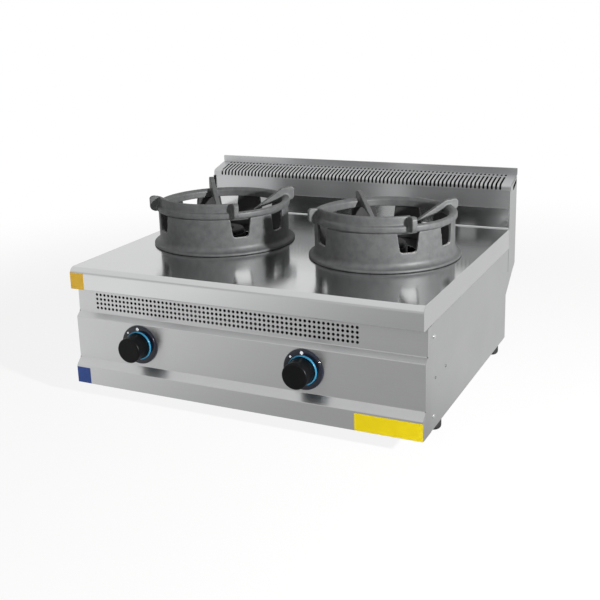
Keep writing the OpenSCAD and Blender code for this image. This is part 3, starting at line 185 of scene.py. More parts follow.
materials = {
    # Bright rolled sheet: nearly a mirror, with faint lines along its length
    "polished_steel": steelSheet("stainless steel, bright rolled", {
        "along": "X", "lineLength": 60, "lineWidth": 1.0, "patchSize": 140,
        "colours": ("#d1d2d2", "#d5d6d6"), "rough": (0.11, 0.17), "patchRough": 0.02,
        "bump": 0.004, "anisotropy": 0.45}),
    # Brushed sheet across the front: reflections run up and down
    "brushed_front": steelSheet("stainless steel, brushed across", {
        "along": "X", "lineLength": 70, "lineWidth": 1.8, "patchSize": 110,
        "colours": ("#cacbcb", "#d2d2d3"), "rough": (0.30, 0.37), "patchRough": 0.02,
        "bump": 0.02, "anisotropy": 0.75}),
    # The flue's sheets, a little duller from the heat
    "flue_steel": steelSheet("stainless steel, brushed and heat dulled", {
        "along": "X", "lineLength": 80, "lineWidth": 2.4, "patchSize": 120,
        "colours": ("#c8c9ca", "#cecfd0"), "rough": (0.33, 0.37), "patchRough": 0.015,
        "bump": 0.002, "anisotropy": 0.8}),
    # Inside the casing and the flue the sheet is dull, and painted near black as shade
    "painted_shade": grainy("stainless steel, unpolished, painted shade", {
        "grain": 3.0, "grainHeight": 0.05, "patch": 30, "patchHeight": 0.05, "speckle": 0.3,
        "colours": ("#121212", "#1f1e1d"), "rough": (0.55, 0.75), "bump": 0.2, "metallic": 0.0}),
    # The sides' sheet, brushed front to back
    "brushed_side": steelSheet("stainless steel, brushed lengthways", {
        "along": "Y", "lineLength": 70, "lineWidth": 1.8, "patchSize": 110,
        "colours": ("#c9cbca", "#d0d2d1"), "rough": (0.34, 0.41), "patchRough": 0.02,
        "bump": 0.02, "anisotropy": 0.7}),
    # Sand cast iron under grey stove paint: a matt, fine-pored skin
    "cast_iron": grainy("cast iron, sand cast and painted", {
        "grain": 1.6, "grainHeight": 0.16, "patch": 14, "patchHeight": 0.1, "speckle": 0.7,
        "colours": ("#525354", "#656666"), "rough": (0.46, 0.60), "bump": 0.4, "metallic": 0.15}),
    # Inside the rings the paint is blackened by the flame, and darker still as painted shade
    "soot_and_shade_iron": grainy("cast iron, blackened inside", {
        "grain": 1.6, "grainHeight": 0.16, "patch": 18, "patchHeight": 0.15, "speckle": 0.5,
        "colours": ("#202020", "#313131"), "rough": (0.60, 0.80), "bump": 0.4, "metallic": 0.0}),
    # Where the paint is knocked off the window sills the iron is bare and pale, and the sills'
    # tops are lighter still as a painted highlight
    "worn_and_lit_iron": grainy("cast iron, ground bare, painted highlight", {
        "grain": 1.6, "grainHeight": 0.1, "patch": 9, "patchHeight": 0.1, "speckle": 0.7,
        "colours": ("#8d8c89", "#c6c5c2"), "rough": (0.40, 0.55), "bump": 0.3, "metallic": 0.2}),
    # Bare cast iron near the flame, darker and browner, and near black as painted shade inside
    # the rings and the casing
    "bare_iron_in_shade": grainy("cast iron, bare, heat stained, painted shade", {
        "grain": 1.1, "grainHeight": 0.3, "patch": 16, "patchHeight": 0.3, "speckle": 0.3,
        "colours": ("#0c0b0b", "#171515"), "rough": (0.65, 0.85), "bump": 0.5, "metallic": 0.0}),
    # Zinc plated mild steel: a pale, slightly mottled grey
    "zinc_steel": grainy("steel, zinc plated", {
        "grain": 3.0, "grainHeight": 0.05, "patch": 14, "patchHeight": 0.05, "speckle": 0.4,
        "colours": ("#a9abad", "#bfc1c3"), "rough": (0.32, 0.48), "bump": 0.2, "metallic": 1.0}),
    # Bright plated screws and rivets
    "screw_steel": grainy("steel, bright plated", {
        "grain": 0.8, "grainHeight": 0.02, "patch": 5, "patchHeight": 0.02, "speckle": 0.3,
        "colours": ("#dcdddd", "#ececec"), "rough": (0.16, 0.28), "bump": 0.2, "metallic": 1.0}),
    # Blind rivets are dull
    "rivet_steel": grainy("steel, dull", {
        "grain": 0.8, "grainHeight": 0.02, "patch": 5, "patchHeight": 0.02, "speckle": 0.3,
        "colours": ("#4c4e50", "#636567"), "rough": (0.50, 0.65), "bump": 0.2, "metallic": 0.6}),
    "brass": grainy("brass, turned", {
        "grain": 0.6, "grainHeight": 0.02, "patch": 6, "patchHeight": 0.02, "speckle": 0.3,
        "colours": ("#b08d4a", "#cdab62"), "rough": (0.20, 0.34), "bump": 0.2, "metallic": 1.0}),
    # Oxidised copper tube, darkened further as painted shade inside the casing
    "copper": grainy("copper tube, oxidised, painted shade", {
        "grain": 2.0, "grainHeight": 0.02, "patch": 18, "patchHeight": 0.03, "speckle": 0.3,
        "colours": ("#33221a", "#443025"), "rough": (0.34, 0.48), "bump": 0.2, "metallic": 1.0}),
    # Phenolic moulding from a spark-etched tool: satin black with a very fine grain
    "black_plastic": grainy("phenolic, satin moulded", {
        "grain": 0.7, "grainHeight": 0.03, "patch": 20, "patchHeight": 0.02, "speckle": 0.2,
        "colours": ("#08090a", "#0d0e0f"), "rough": (0.30, 0.40), "bump": 0.2, "metallic": 0.0,
        "shader": {"Specular_IOR_Level": 0.14}}),
    # ABS from a polished tool: deep gloss black
    "black_gloss": grainy("ABS, gloss moulded", {
        "grain": 6.0, "grainHeight": 0.01, "patch": 30, "patchHeight": 0.02, "speckle": 0.2,
        "colours": ("#10131d", "#191d2b"), "rough": (0.10, 0.16), "bump": 0.1, "metallic": 0.0}),
    # Polycarbonate ring, dyed through
    "blue_plastic": grainy("polycarbonate, dyed blue", {
        "grain": 3.0, "grainHeight": 0.01, "patch": 12, "patchHeight": 0.01, "speckle": 0.2,
        "colours": ("#2a7699", "#3a88ab"), "rough": (0.20, 0.30), "bump": 0.1, "metallic": 0.0}),
    "white_print": grainy("ink, pad printed white", {
        "grain": 0.9, "grainHeight": 0.01, "patch": 5, "patchHeight": 0.01, "speckle": 0.3,
        "colours": ("#eef4f8", "#fbfdff"), "rough": (0.35, 0.50), "bump": 0.1, "metallic": 0.0}),
    "rubber": grainy("rubber, moulded", {
        "grain": 1.0, "grainHeight": 0.05, "patch": 12, "patchHeight": 0.05, "speckle": 0.3,
        "colours": ("#161616", "#222223"), "rough": (0.55, 0.75), "bump": 0.3, "metallic": 0.0}),
    "yellow_label": grainy("vinyl, yellow", {
        "grain": 1.4, "grainHeight": 0.01, "patch": 25, "patchHeight": 0.03, "speckle": 0.2,
        "colours": ("#d2bb00", "#dac402"), "rough": (0.40, 0.52), "bump": 0.15, "metallic": 0.0,
        "shader": {"Specular_IOR_Level": 0.2}}),
    "amber_label": grainy("vinyl, amber", {
        "grain": 1.4, "grainHeight": 0.01, "patch": 25, "patchHeight": 0.03, "speckle": 0.2,
        "colours": ("#dcae2a", "#e6b934"), "rough": (0.34, 0.46), "bump": 0.15, "metallic": 0.0}),
    "blue_label": grainy("vinyl, blue", {
        "grain": 1.4, "grainHeight": 0.01, "patch": 25, "patchHeight": 0.03, "speckle": 0.2,
        "colours": ("#12387c", "#194590"), "rough": (0.34, 0.46), "bump": 0.15, "metallic": 0.0}),
}
print("materials made:", len(materials))


# Making pieces

def newObject(name, mesh):
    piece = bpy.data.objects.new(name, mesh)
    scene.collection.objects.link(piece)
    return piece


def fromBmesh(name, bm, move=toFrame):
    bm.transform(move)
    mesh = bpy.data.meshes.new(name)
    bm.to_mesh(mesh)
    bm.free()
    return newObject(name, mesh)


def applyAll(piece):
    # The modifiers' result becomes the piece's own mesh
    bpy.context.view_layer.update()
    depsgraph = bpy.context.evaluated_depsgraph_get()
    mesh = bpy.data.meshes.new_from_object(piece.evaluated_get(depsgraph), depsgraph=depsgraph)
    piece.modifiers.clear()
    piece.data = mesh


def shade(piece, sharp=38):
    # Flat faces stay flat up to their rounded edges; sharp is an angle in degrees
    applyAll(piece)
    piece.data.shade_smooth()
    piece.data.set_sharp_from_angle(angle=math.radians(sharp))
    weighted = piece.modifiers.new("flats", "WEIGHTED_NORMAL")
    weighted.keep_sharp = True
    applyAll(piece)


def dress(piece, body, finish, slotName, *nodes):
    piece.data.materials.clear()
    piece.data.materials.append(materials[finish])
    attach(piece, body)
    if nodes:
        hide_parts(*nodes)
    return piece


def removeAll(pieces):
    for piece in pieces:
        bpy.data.objects.remove(piece)


# A face looks squarely, roughly or half along an axis where its normal reaches this far
squarely, roughly, halfway = 0.9, 0.6, 0.5


def facesMiddle(x, normal):
    # Any face that looks at the plane between the left and the right half
    return normal.x * x < -squarely


def darken(piece, hidden):
    # Faces inside the casing take the dull, near-black finish as painted shade; hidden(x, y, z,
    # normal) picks them
    piece.data.materials.append(materials["painted_shade"])
    back = toFrame.inverted()
    for face in piece.data.polygons:
        if hidden(*(back @ face.center), face.normal):
            face.material_index = 1


def bentLine(points, radii, steps=4):
    # A line of (y, z) points with each corner rounded to its radius
    line = [Vector(points[0])]
    for at, radius in zip(range(1, len(points) - 1), radii):
        before, corner, after = (Vector(p) for p in points[at - 1:at + 2])
        u, v = (before - corner).normalized(), (after - corner).normalized()
        half = u.angle(v) / 2
        centre = corner + (u + v).normalized() * radius / math.sin(half)
        start = corner + u * radius / math.tan(half) - centre
        end = corner + v * radius / math.tan(half) - centre
        turn = start.angle(end)
        for k in range(steps + 1):
            t = k / steps
            line.append(centre + (start * math.sin((1 - t) * turn)
                                  + end * math.sin(t * turn)) / math.sin(turn))
    return line + [Vector(points[-1])]


def sweepAcross(bm, line, halfWidth):
    # Faces along X between the points of a section line
    left, right = ([bm.verts.new((x, p[0], p[1])) for p in line] for x in (-halfWidth, halfWidth))
    for i in range(len(line) - 1):
        bm.faces.new((right[i], right[i + 1], left[i + 1], left[i]))
    return left, right


def closeEnds(bm, left, right, corners, halfWidth, edgeRadius, steps=3):
    # Side faces from the section line to the corners given, with rounded edges between
    for row, x, flip in ((left, -halfWidth, False), (right, halfWidth, True)):
        loop = row + [bm.verts.new((x, y, z)) for y, z in corners]
        bm.faces.new(reversed(loop) if flip else loop)
    bm.edges.ensure_lookup_table()
    edges = [bm.edges.get((row[i], row[i + 1])) for row in (left, right)
             for i in range(1, len(row) - 1)]
    bmesh.ops.bevel(bm, geom=edges, offset=edgeRadius, segments=steps, profile=0.5,
                    affect="EDGES", clamp_overlap=True)
    # A stepped outline is cut into triangles here, so that none bridges its steps
    many = [face for face in bm.faces if len(face.verts) > 4]
    bmesh.ops.triangulate(bm, faces=many, ngon_method="EAR_CLIP")


def spin(bm, profile, centre, steps=64, upright=False, closed=False):
    # Turns a line of (radius, along) points about an axis along Y, or upright
    rings = []
    for radius, along in profile:
        ring = []
        for k in range(steps if radius else 1):
            across = radius * math.cos(2 * math.pi * k / steps)
            other = radius * math.sin(2 * math.pi * k / steps)
            ring.append(bm.verts.new(Vector(centre) + Vector(
                (across, other, along) if upright else (across, along, other))))
        rings.append(ring)
    for one, two in zip(rings, rings[1:] + rings[:1] if closed else rings[1:]):
        for k in range(steps):
            loop = (one[k % len(one)], one[(k + 1) % len(one)],
                    two[(k + 1) % len(two)], two[k % len(two)])
            bm.faces.new(dict.fromkeys(loop))
    bmesh.ops.recalc_face_normals(bm, faces=bm.faces)


def rod(radius, low, high):
    # The profile of a plain cylinder
    return [(0, low), (radius, low), (radius, high), (0, high)]


def prism(bm, one, two):
    # A closed body between two outlines
    count = len(one)
    for k in range(count):
        bm.faces.new((one[k], one[(k + 1) % count], two[(k + 1) % count], two[k]))
    bm.faces.new(one)
    bm.faces.new(two)
    bmesh.ops.recalc_face_normals(bm, faces=bm.faces)


def thicken(piece, sheet):
    # A sheet grows inwards from its outer face
    thick = piece.modifiers.new("thickness", "SOLIDIFY")
    thick.thickness, thick.offset, thick.use_even_offset = sheet / 1000, -1, True


def drill(piece, profile, centre, steps, upright=False):
    # Takes a turned shape out of a piece, and returns the cutter
    hole = bmesh.new()
    spin(hole, profile, centre, steps, upright)
    cut = piece.modifiers.new("hole", "BOOLEAN")
    cut.object, cut.operation, cut.solver = fromBmesh("holeCutter", hole), "DIFFERENCE", "EXACT"
    return cut.object


def copyOf(node, name, cut=None, join=2e-6, flat=1):
    # A node's mesh as a new object, its triangles joined into whole faces where they lie
    # flat within some degrees. Its faces may be parted at a height, where the finish changes.
    bm = bmesh.new()
    bm.from_mesh(frame["nodes"][node].data)
    bmesh.ops.remove_doubles(bm, verts=bm.verts, dist=join)
    bmesh.ops.dissolve_limit(bm, angle_limit=math.radians(flat), verts=bm.verts, edges=bm.edges)
    if cut is not None:
        bmesh.ops.bisect_plane(bm, geom=bm.verts[:] + bm.edges[:] + bm.faces[:],
                               plane_co=(0, 0, (cut + deckZ) / 1000), plane_no=(0, 0, 1))
    return fromBmesh(name, bm, Matrix.Identity(4))


def softened(node, name, width, steps=2, corner=30, cut=None):
    # A copy of a node with its edges rounded, width in millimetres
    piece = copyOf(node, name, cut)
    bevel = piece.modifiers.new("edges", "BEVEL")
    bevel.width, bevel.segments = width / 1000, steps
    bevel.limit_method, bevel.angle_limit = "ANGLE", math.radians(corner)
    bevel.miter_outer = "MITER_ARC"
    shade(piece)
    return piece


def punchTree():
    # Takes a grid of cutters out of a sheet
    tree = bpy.data.node_groups.new("punched sheet", "GeometryNodeTree")
    for name, kind in (("Sheet", "NodeSocketGeometry"), ("Cutter", "NodeSocketObject"),
                       ("Columns", "NodeSocketInt"), ("Rows", "NodeSocketInt"),
                       ("First", "NodeSocketVector"), ("Across", "NodeSocketVector"),
                       ("Down", "NodeSocketVector"), ("Finish", "NodeSocketMaterial")):
        tree.interface.new_socket(name, in_out="INPUT", socket_type=kind)
    tree.interface.new_socket("Sheet", in_out="OUTPUT", socket_type="NodeSocketGeometry")
    given = addNode(tree, "NodeGroupInput").outputs
    column = addNode(tree, "GeometryNodeMeshLine", inputs={
        "Count": given["Rows"], "Offset": given["Down"]}).outputs[0]
    row = addNode(tree, "GeometryNodeMeshLine", inputs={
        "Count": given["Columns"], "Start Location": given["First"],
        "Offset": given["Across"]}).outputs[0]
    grid = addNode(tree, "GeometryNodeInstanceOnPoints", inputs={
        "Points": row, "Instance": column}).outputs[0]
    points = addNode(tree, "GeometryNodeRealizeInstances", inputs={"Geometry": grid}).outputs[0]
    cutter = addNode(tree, "GeometryNodeObjectInfo", inputs={"Object": given["Cutter"]})
    cutters = addNode(tree, "GeometryNodeInstanceOnPoints", inputs={
        "Points": points, "Instance": cutter.outputs["Geometry"]}).outputs[0]
    solid = addNode(tree, "GeometryNodeRealizeInstances", inputs={"Geometry": cutters}).outputs[0]
    cut = addNode(tree, "GeometryNodeMeshBoolean", {
        "operation": "DIFFERENCE", "solver": "EXACT"}, {
        "Mesh 1": given["Sheet"], "Mesh 2": solid}).outputs[0]
    whole = addNode(tree, "GeometryNodeRealizeInstances", inputs={"Geometry": cut}).outputs[0]
    painted = addNode(tree, "GeometryNodeSetMaterial", inputs={
        "Geometry": whole, "Material": given["Finish"]}).outputs[0]
    addNode(tree, "NodeGroupOutput", inputs={"Sheet": painted})
    return tree


def runTree(piece, tree, values):
    modifier = piece.modifiers.new("shape", "NODES")
    modifier.node_group = tree
    for item in tree.interface.items_tree:
        if item.in_out == "INPUT" and item.name in values:
            modifier[item.identifier] = values[item.name]


punchedSheet = punchTree()


# Hob: one sheet with a rounded rim, skirts at the sides and an upstand at the back
hob = {"width": 800, "sheet": 2, "rimHeight": 47.8, "rimRadius": 13, "rimSteps": 8,
       "rimInside": 14, "footRadius": 2.4, "returnDepth": 12, "edgeRadius": 1.9,
       "skirtBack": 629.8, "back": 634, "upstand": 48, "creaseRadius": 3, "creaseSteps": 5,
       "burners": (-200, 200), "burnerY": 332, "holeRadius": 68, "holeSides": 96,
       "cutReach": 20, "collarWidth": 3, "collarHeight": 6,
       # In and down from the collar's corners, and out and up from its foot
       "collarCorner": ((0, 1.2), (0.4, 0.35), (1.2, 0)),
       "collarFoot": ((0, 1.8), (0.5, 0.6), (1.6, 0.03))}


def makeHob():
    half, rim, back = hob["width"] / 2, -hob["rimHeight"], hob["skirtBack"]
    line = bentLine([(hob["returnDepth"], rim), (0, rim), (0, 0), (back, 0)],
                    [hob["footRadius"], hob["rimRadius"]], hob["rimSteps"])
    bm = bmesh.new()
    left, right = sweepAcross(bm, line, half)
    closeEnds(bm, left, right, [(back, rim)], half, hob["edgeRadius"])
    # The deck runs on between the flue's cheeks and turns up
    rear = [e for e in bm.edges if e.is_boundary and all(
        abs(v.co.y - back) < near and abs(v.co.z) < near for v in e.verts)]
    upLine = bentLine([(back, 0), (hob["back"], 0), (hob["back"], hob["upstand"])],
                      [hob["creaseRadius"]], hob["creaseSteps"])[1:]
    for y, z in upLine:
        new = bmesh.ops.extrude_edge_only(bm, edges=rear)["geom"]
        rear = [g for g in new if isinstance(g, bmesh.types.BMEdge) and all(
            v in new for v in g.verts)]
        for vert in {v for e in rear for v in e.verts}:
            vert.co.y, vert.co.z = y, z
    piece = fromBmesh("hobTop", bm)
    thicken(piece, hob["sheet"])
    inner, under = hob["holeRadius"], -hob["sheet"]
    places = [(x, hob["burnerY"], 0) for x in hob["burners"]]
    cutters = [drill(piece, rod(inner, -hob["cutReach"], hob["cutReach"]), place,
                     hob["holeSides"], upright=True) for place in places]
    applyAll(piece)
    # Each hole's edge is drawn up into a collar
    bm = bmesh.new()
    bm.from_mesh(piece.data)
    bm.transform(toFrame.inverted())
    outer, high = inner + hob["collarWidth"], hob["collarHeight"]
    corner, foot = hob["collarCorner"], hob["collarFoot"]
    profile = [(inner, under)] + [(inner + u, high - v) for u, v in corner]
    profile += [(outer - u, high - v) for u, v in reversed(corner)]
    profile += [(outer + u, v) for u, v in foot] + [(outer + foot[-1][0], under)]
    for place in places:
        collar = bmesh.new()
        spin(collar, profile, place, hob["holeSides"], upright=True, closed=True)
        mesh = bpy.data.meshes.new("collar")
        collar.to_mesh(mesh)
        collar.free()
        bm.from_mesh(mesh)
    removeAll([piece] + cutters)
    piece = fromBmesh("hobTop", bm)
    shade(piece)
    dress(piece, "root", "polished_steel", "polished_steel", "hob_top")
    # The sheet's back and under faces take painted shade
    darken(piece, lambda x, y, z, n: (n.z < -squarely and y > hob["rimInside"]
                                      or n.y > squarely and y < hob["rimInside"]))


makeHob()
print("hob made")


# Front: a perforated band, the knob panel between two ledges, and the bottom band
front = {"halfWidth": 400, "sheet": 1.5, "bendRadius": 2.6, "lipRadius": 1.6,
         "edgeRadius": 1.6, "seam": 45.9, "inside": 40, "endInset": 1,
         "points": [(35, -48.7), (23, -48.7), (23, -104.3), (11.2, -114.5), (11.2, -208.7),
                    (-3.8, -223), (-3.8, -264), (16.2, -264)],
         "columns": 62, "rows": 4, "pitch": 10, "firstHole": (-349.7, -62.7),
         "holeDiameter": 6.2, "holeSides": 16, "holeCut": (15, 32), "holeBand": (-98, -58),
         "knobs": {"left": (-236, -158.9), "right": (150.5, -158.9)},
         "spindleHole": 5.2, "spindleSides": 32, "spindleCut": (0, 25)}


def makeFront():
    points, bend, lip = front["points"], front["bendRadius"], front["lipRadius"]
    line = bentLine(points, [lip, bend, bend, bend, bend, lip])
    bm = bmesh.new()
    left, right = sweepAcross(bm, list(reversed(line)), front["halfWidth"])
    closeEnds(bm, left, right, [(front["seam"], points[0][1]), (front["seam"], points[-1][1])],
              front["halfWidth"], front["edgeRadius"])
    piece = fromBmesh("frontFascia", bm)
    thicken(piece, front["sheet"])
    cutters = [drill(piece, rod(front["spindleHole"], *front["spindleCut"]), (x, 0, z),
                     front["spindleSides"]) for x, z in front["knobs"].values()]
    hole = bmesh.new()
    spin(hole, rod(front["holeDiameter"] / 2, *front["holeCut"]), (0, -rimY, -deckZ),
         front["holeSides"])
    cutters.append(fromBmesh("ventCutter", hole))
    pitch, (x, z) = front["pitch"] / 1000, front["firstHole"]
    runTree(piece, punchedSheet, {
        "Cutter": cutters[-1], "Columns": front["columns"], "Rows": front["rows"],
        "First": (x / 1000, rimY / 1000, (z + deckZ) / 1000),
        "Across": (pitch, 0, 0), "Down": (0, 0, -pitch), "Finish": materials["brushed_front"]})
    shade(piece)
    removeAll(cutters)
    dress(piece, "root", "brushed_front", "brushed_steel", "front_fascia")
    # The back faces and the vent holes' walls take painted shade
    low, high = front["holeBand"]
    darken(piece, lambda x, y, z, n: (
        n.y > roughly and y < front["inside"]
        or abs(x) < front["halfWidth"] - front["endInset"] and (
            facesMiddle(x, n) or low < z < high and abs(n.y) < halfway)))


makeFront()
print("front made")


# Flue: a bent sheet with a row of slots over its bend, and a row of short ones behind
flue = {"halfWidth": 400, "sheet": 1.5, "bendRadius": 9, "bendSteps": 5, "slots": 76,
        "pitch": 10, "firstSlot": -375, "slotWidth": 4.7, "slotFoot": 91.8,
        "longSlotBack": 677.6, "shortSlot": (682.6, 690.6), "bendEnd": 645,
        "points": [(634.5, 90.3), (635.5, 104.5), (692.3, 118.6)], "channelTop": 117.5,
        # How far the slots' cutters reach past the bend and through the front leg
        "cutFront": 20, "cutBelow": 8, "cutAbove": 30, "cutTop": 20, "cutLeg": (9, 7.5),
        # What picks the faces painted dark as shade inside
        "underside": 91, "slotWall": 0.35, "endInset": 1, "cheekInset": 0.5, "sharp": 30}


def stadium(bm, ends, low, high, along, steps=6):
    # A round-ended cutter: its outline runs between two places along Y or along Z
    radius, outline = flue["slotWidth"] / 2, []
    for middle, first in ((ends[0] + radius, math.pi), (ends[1] - radius, 0)):
        for k in range(steps + 1):
            turn = first + math.pi * k / steps
            outline.append((radius * math.cos(turn), middle + radius * math.sin(turn)))
    prism(bm, *([bm.verts.new((x, v, level) if along == "Y" else (x, level, v))
                 for x, v in outline] for level in (low, high)))


def makeGrille():
    line = bentLine(flue["points"], [flue["bendRadius"]], flue["bendSteps"])
    bm = bmesh.new()
    sweepAcross(bm, line, flue["halfWidth"])
    piece = fromBmesh("flueGrille", bm)
    thicken(piece, flue["sheet"])
    leg, bendZ = flue["points"][0][0], flue["points"][1][1]
    inLeg, outLeg = flue["cutLeg"]
    cutters = []
    for name, ends, low, high, along in (
            ("slotTop", (leg - flue["cutFront"], flue["longSlotBack"]),
             bendZ - flue["cutBelow"], bendZ + flue["cutAbove"], "Y"),
            ("slotLeg", (flue["slotFoot"], bendZ + flue["cutTop"]),
             leg - inLeg, leg + outLeg, "Z"),
            ("slotShort", flue["shortSlot"], bendZ, bendZ + flue["cutAbove"], "Y")):
        cutter = bmesh.new()
        stadium(cutter, ends, low, high, along)
        cutters.append(fromBmesh(name, cutter))
        runTree(piece, punchedSheet, {
            "Cutter": cutters[-1], "Columns": flue["slots"], "Rows": 1,
            "First": (flue["firstSlot"] / 1000, 0, 0), "Across": (flue["pitch"] / 1000, 0, 0),
            "Finish": materials["flue_steel"]})
    shade(piece, flue["sharp"])
    removeAll(cutters)
    dress(piece, "root", "flue_steel", "brushed_steel", "flue_grille")
    # The back and under faces and the slots' walls take painted shade
    darken(piece, lambda x, y, z, n: (
        n.z < -roughly and z > flue["underside"] or n.y > roughly
        or abs(x) < flue["halfWidth"] - flue["endInset"] and (
            abs(n.x) > halfway or y > flue["bendEnd"] and abs(n.z) < flue["slotWall"])))


def panelInside(x, y, z, n):
    return facesMiddle(x, n) and abs(x) < flue["halfWidth"] - flue["cheekInset"]


makeGrille()
for node, name, width, finish, slotName, cut, hidden in (
        ("flue_back", "flueBack", 0.65, "flue_steel", "brushed_steel", flue["channelTop"],
         lambda x, y, z, n: n.y < -roughly and z < flue["channelTop"]),
        ("flue_cheek_left", "flueCheekLeft", 0.6, "brushed_side", "brushed_steel", None,
         panelInside),
        ("flue_cheek_right", "flueCheekRight", 0.6, "brushed_side", "brushed_steel", None,
         panelInside),
        ("side_panel_left", "sidePanelLeft", 0.6, "brushed_side", "brushed_steel", None,
         panelInside),
        ("side_panel_right", "sidePanelRight", 0.6, "brushed_side", "brushed_steel", None,
         panelInside),
        ("rear_panel", "rearPanel", 0.4, "brushed_front", "brushed_steel", None,
         lambda x, y, z, n: n.y < -roughly),
        ("base_pan", "basePan", 0.4, "brushed_front", "brushed_steel", None,
         lambda x, y, z, n: n.z > roughly),
        ("splash_panel", "splashPanel", 0.5, "flue_steel", "polished_steel", None,
         lambda x, y, z, n: n.y > roughly)):
    # Hidden faces of each sheet take painted shade
    darken(dress(softened(node, name, width, cut=cut), "root", finish, slotName, node), hidden)
print("casing made")


# Cast rings: the solids, with every edge run round as a sand mould leaves it
casting = {"voxel": 1.5, "smoothing": 2, "strength": 0.5, "ringY": 332, "sootShadeRadius": 149,
           "sootShadeTilt": 0.7, "sootShadeFacing": 0.25, "contactShadeHeight": 1.3, "sillHeight": 38,
           "sillBand": 2, "sillTilt": 0.7}


def castSkin(node, name):
    piece = copyOf(node, name)
    remesh = piece.modifiers.new("skin", "REMESH")
    remesh.mode, remesh.voxel_size = "VOXEL", casting["voxel"] / 1000
    smooth = piece.modifiers.new("run edges", "SMOOTH")
    smooth.iterations, smooth.factor = casting["smoothing"], casting["strength"]
    applyAll(piece)
    piece.data.shade_smooth()
    return piece


def blacken(piece, middle):
    # Faces that look at the ring's axis, and lie inside its wall, take the soot and painted
    # shade. The foot's lowest edge is painted near black as contact shadow, and the window sills'
    # tops are worn bare and lighter as a painted highlight.
    for finish in ("soot_and_shade_iron", "painted_shade", "worn_and_lit_iron"):
        piece.data.materials.append(materials[finish])
    sootAndShade, contactShade, wornLitSill = 1, 2, 3
    centre = Vector((middle / 1000, (casting["ringY"] + rimY) / 1000))
    for face in piece.data.polygons:
        out, normal, height = face.center.xy - centre, face.normal, face.center.z
        if (out.length < casting["sootShadeRadius"] / 1000 and normal.z < casting["sootShadeTilt"]
                and out.normalized().dot(normal.xy) < -casting["sootShadeFacing"]):
            face.material_index = sootAndShade
        elif height < (deckZ + casting["contactShadeHeight"]) / 1000:
            face.material_index = contactShade
        elif (normal.z > casting["sillTilt"] and
                abs(height * 1000 - deckZ - casting["sillHeight"]) < casting["sillBand"]):
            face.material_index = wornLitSill


for side, middle in zip(("left", "right"), hob["burners"]):
    blacken(dress(castSkin("ring_stand_" + side, "ringStand." + side), "stand_" + side,
                  "cast_iron", "cast_iron", "ring_stand_" + side), middle)
    dress(castSkin("pan_support_" + side, "panSupport." + side), "support_" + side,
          "cast_iron", "cast_iron", "pan_support_" + side)
    dress(softened("burner_cap_" + side, "burnerCap." + side, 0.7), "cap_" + side,
          "bare_iron_in_shade", "cast_iron", "burner_cap_" + side)
    dress(softened("burner_body_" + side, "burnerBody." + side, 0.7), "root",
          "bare_iron_in_shade", "cast_iron", "burner_body_" + side)
print("castings made")


# Knobs on their bezels
knob = {"radius": 27.5, "back": 3.6, "front": -33.9, "edge": 3.6, "edgeStart": -80,
        "edgeSteps": 8, "edgeInset": 0.25, "draft": 0.1, "skirtEnd": 1, "skirtEdge": 0.6,
        "skirtSteps": 3, "wall": 3, "web": 1.5, "shoulder": 1.6, "dish": 0.5,
        # Shares of the radius and of the dish, from the middle outwards
        "dishShares": ((0, 1), (0.45, 0.8), (0.70, 0.25)),
        "hubRadius": (9.2, 9), "hubSet": 1.5, "bore": 4.1, "boreEnd": 12,
        "sides": 96, "sharp": 32}
bezel = {"radius": 42.5, "back": 11.2, "front": 5.0, "floor": 7.2, "edge": 2.6,
         "edgeFall": 0.5, "edgeSteps": 6, "edgeEnd": -78, "slope": (2.5, 0.12), "land": 1,
         "corner": 0.4, "well": 28.1, "bore": 5.4}
bezelRing = {"radii": (28.15, 31.3), "front": 1.5, "outerEdge": 1.4, "innerEdge": 1.0,
             "steps": (5, 4)}
# Each mark: right and up from the knob's axis, its size, the lean of its point in radians
# and how far the point reaches, as a share
marks = {"shapes": ((-0.6, 35.6, 3.5, -0.35, 0.15), (-25.6, 24.8, 2.3, 0, 0)),
         "sides": 28, "sunk": 0.3, "proud": 0.12, "taper": 6}


def arc(centreR, centreY, radius, start, end, steps):
    # Part of a circle in a (radius, along) line, in degrees
    return [(centreR + radius * math.cos(math.radians(start + (end - start) * k / steps)),
             centreY + radius * math.sin(math.radians(start + (end - start) * k / steps)))
            for k in range(steps + 1)]


def turnedPiece(name, profile, side, body, finish, node, closed=False):
    # A piece turned about a knob's axis
    x, z = front["knobs"][side]
    bm = bmesh.new()
    spin(bm, profile, (x, 0, z), knob["sides"], closed=closed)
    piece = fromBmesh(name + "." + side, bm)
    shade(piece, knob["sharp"])
    dress(piece, body, finish, finish, node + "_" + side)


def makeKnob(side):
    radius, back, face = knob["radius"], knob["back"], knob["front"]
    edge, skirt = knob["edge"], knob["skirtEdge"]
    hollow, hubEnd = face + knob["wall"] + knob["web"], back - knob["hubSet"]
    profile = [(radius * out, face + knob["dish"] * deep) for out, deep in knob["dishShares"]]
    profile += [(radius - edge - knob["shoulder"], face)]
    profile += arc(radius - edge - knob["edgeInset"], face + edge, edge, knob["edgeStart"], 0,
                   knob["edgeSteps"])
    profile += [(radius - knob["draft"], 0), (radius, back - knob["skirtEnd"])]
    profile += arc(radius - skirt, back - skirt, skirt, 0, 90, knob["skirtSteps"])
    profile += [(radius - knob["wall"], back), (radius - knob["wall"], hollow),
                (knob["hubRadius"][0], hollow), (knob["hubRadius"][1], hubEnd),
                (knob["bore"], hubEnd), (knob["bore"], face + knob["boreEnd"]),
                (0, face + knob["boreEnd"])]
    turnedPiece("knob", profile, side, "dial_" + side, "black_plastic", "knob")


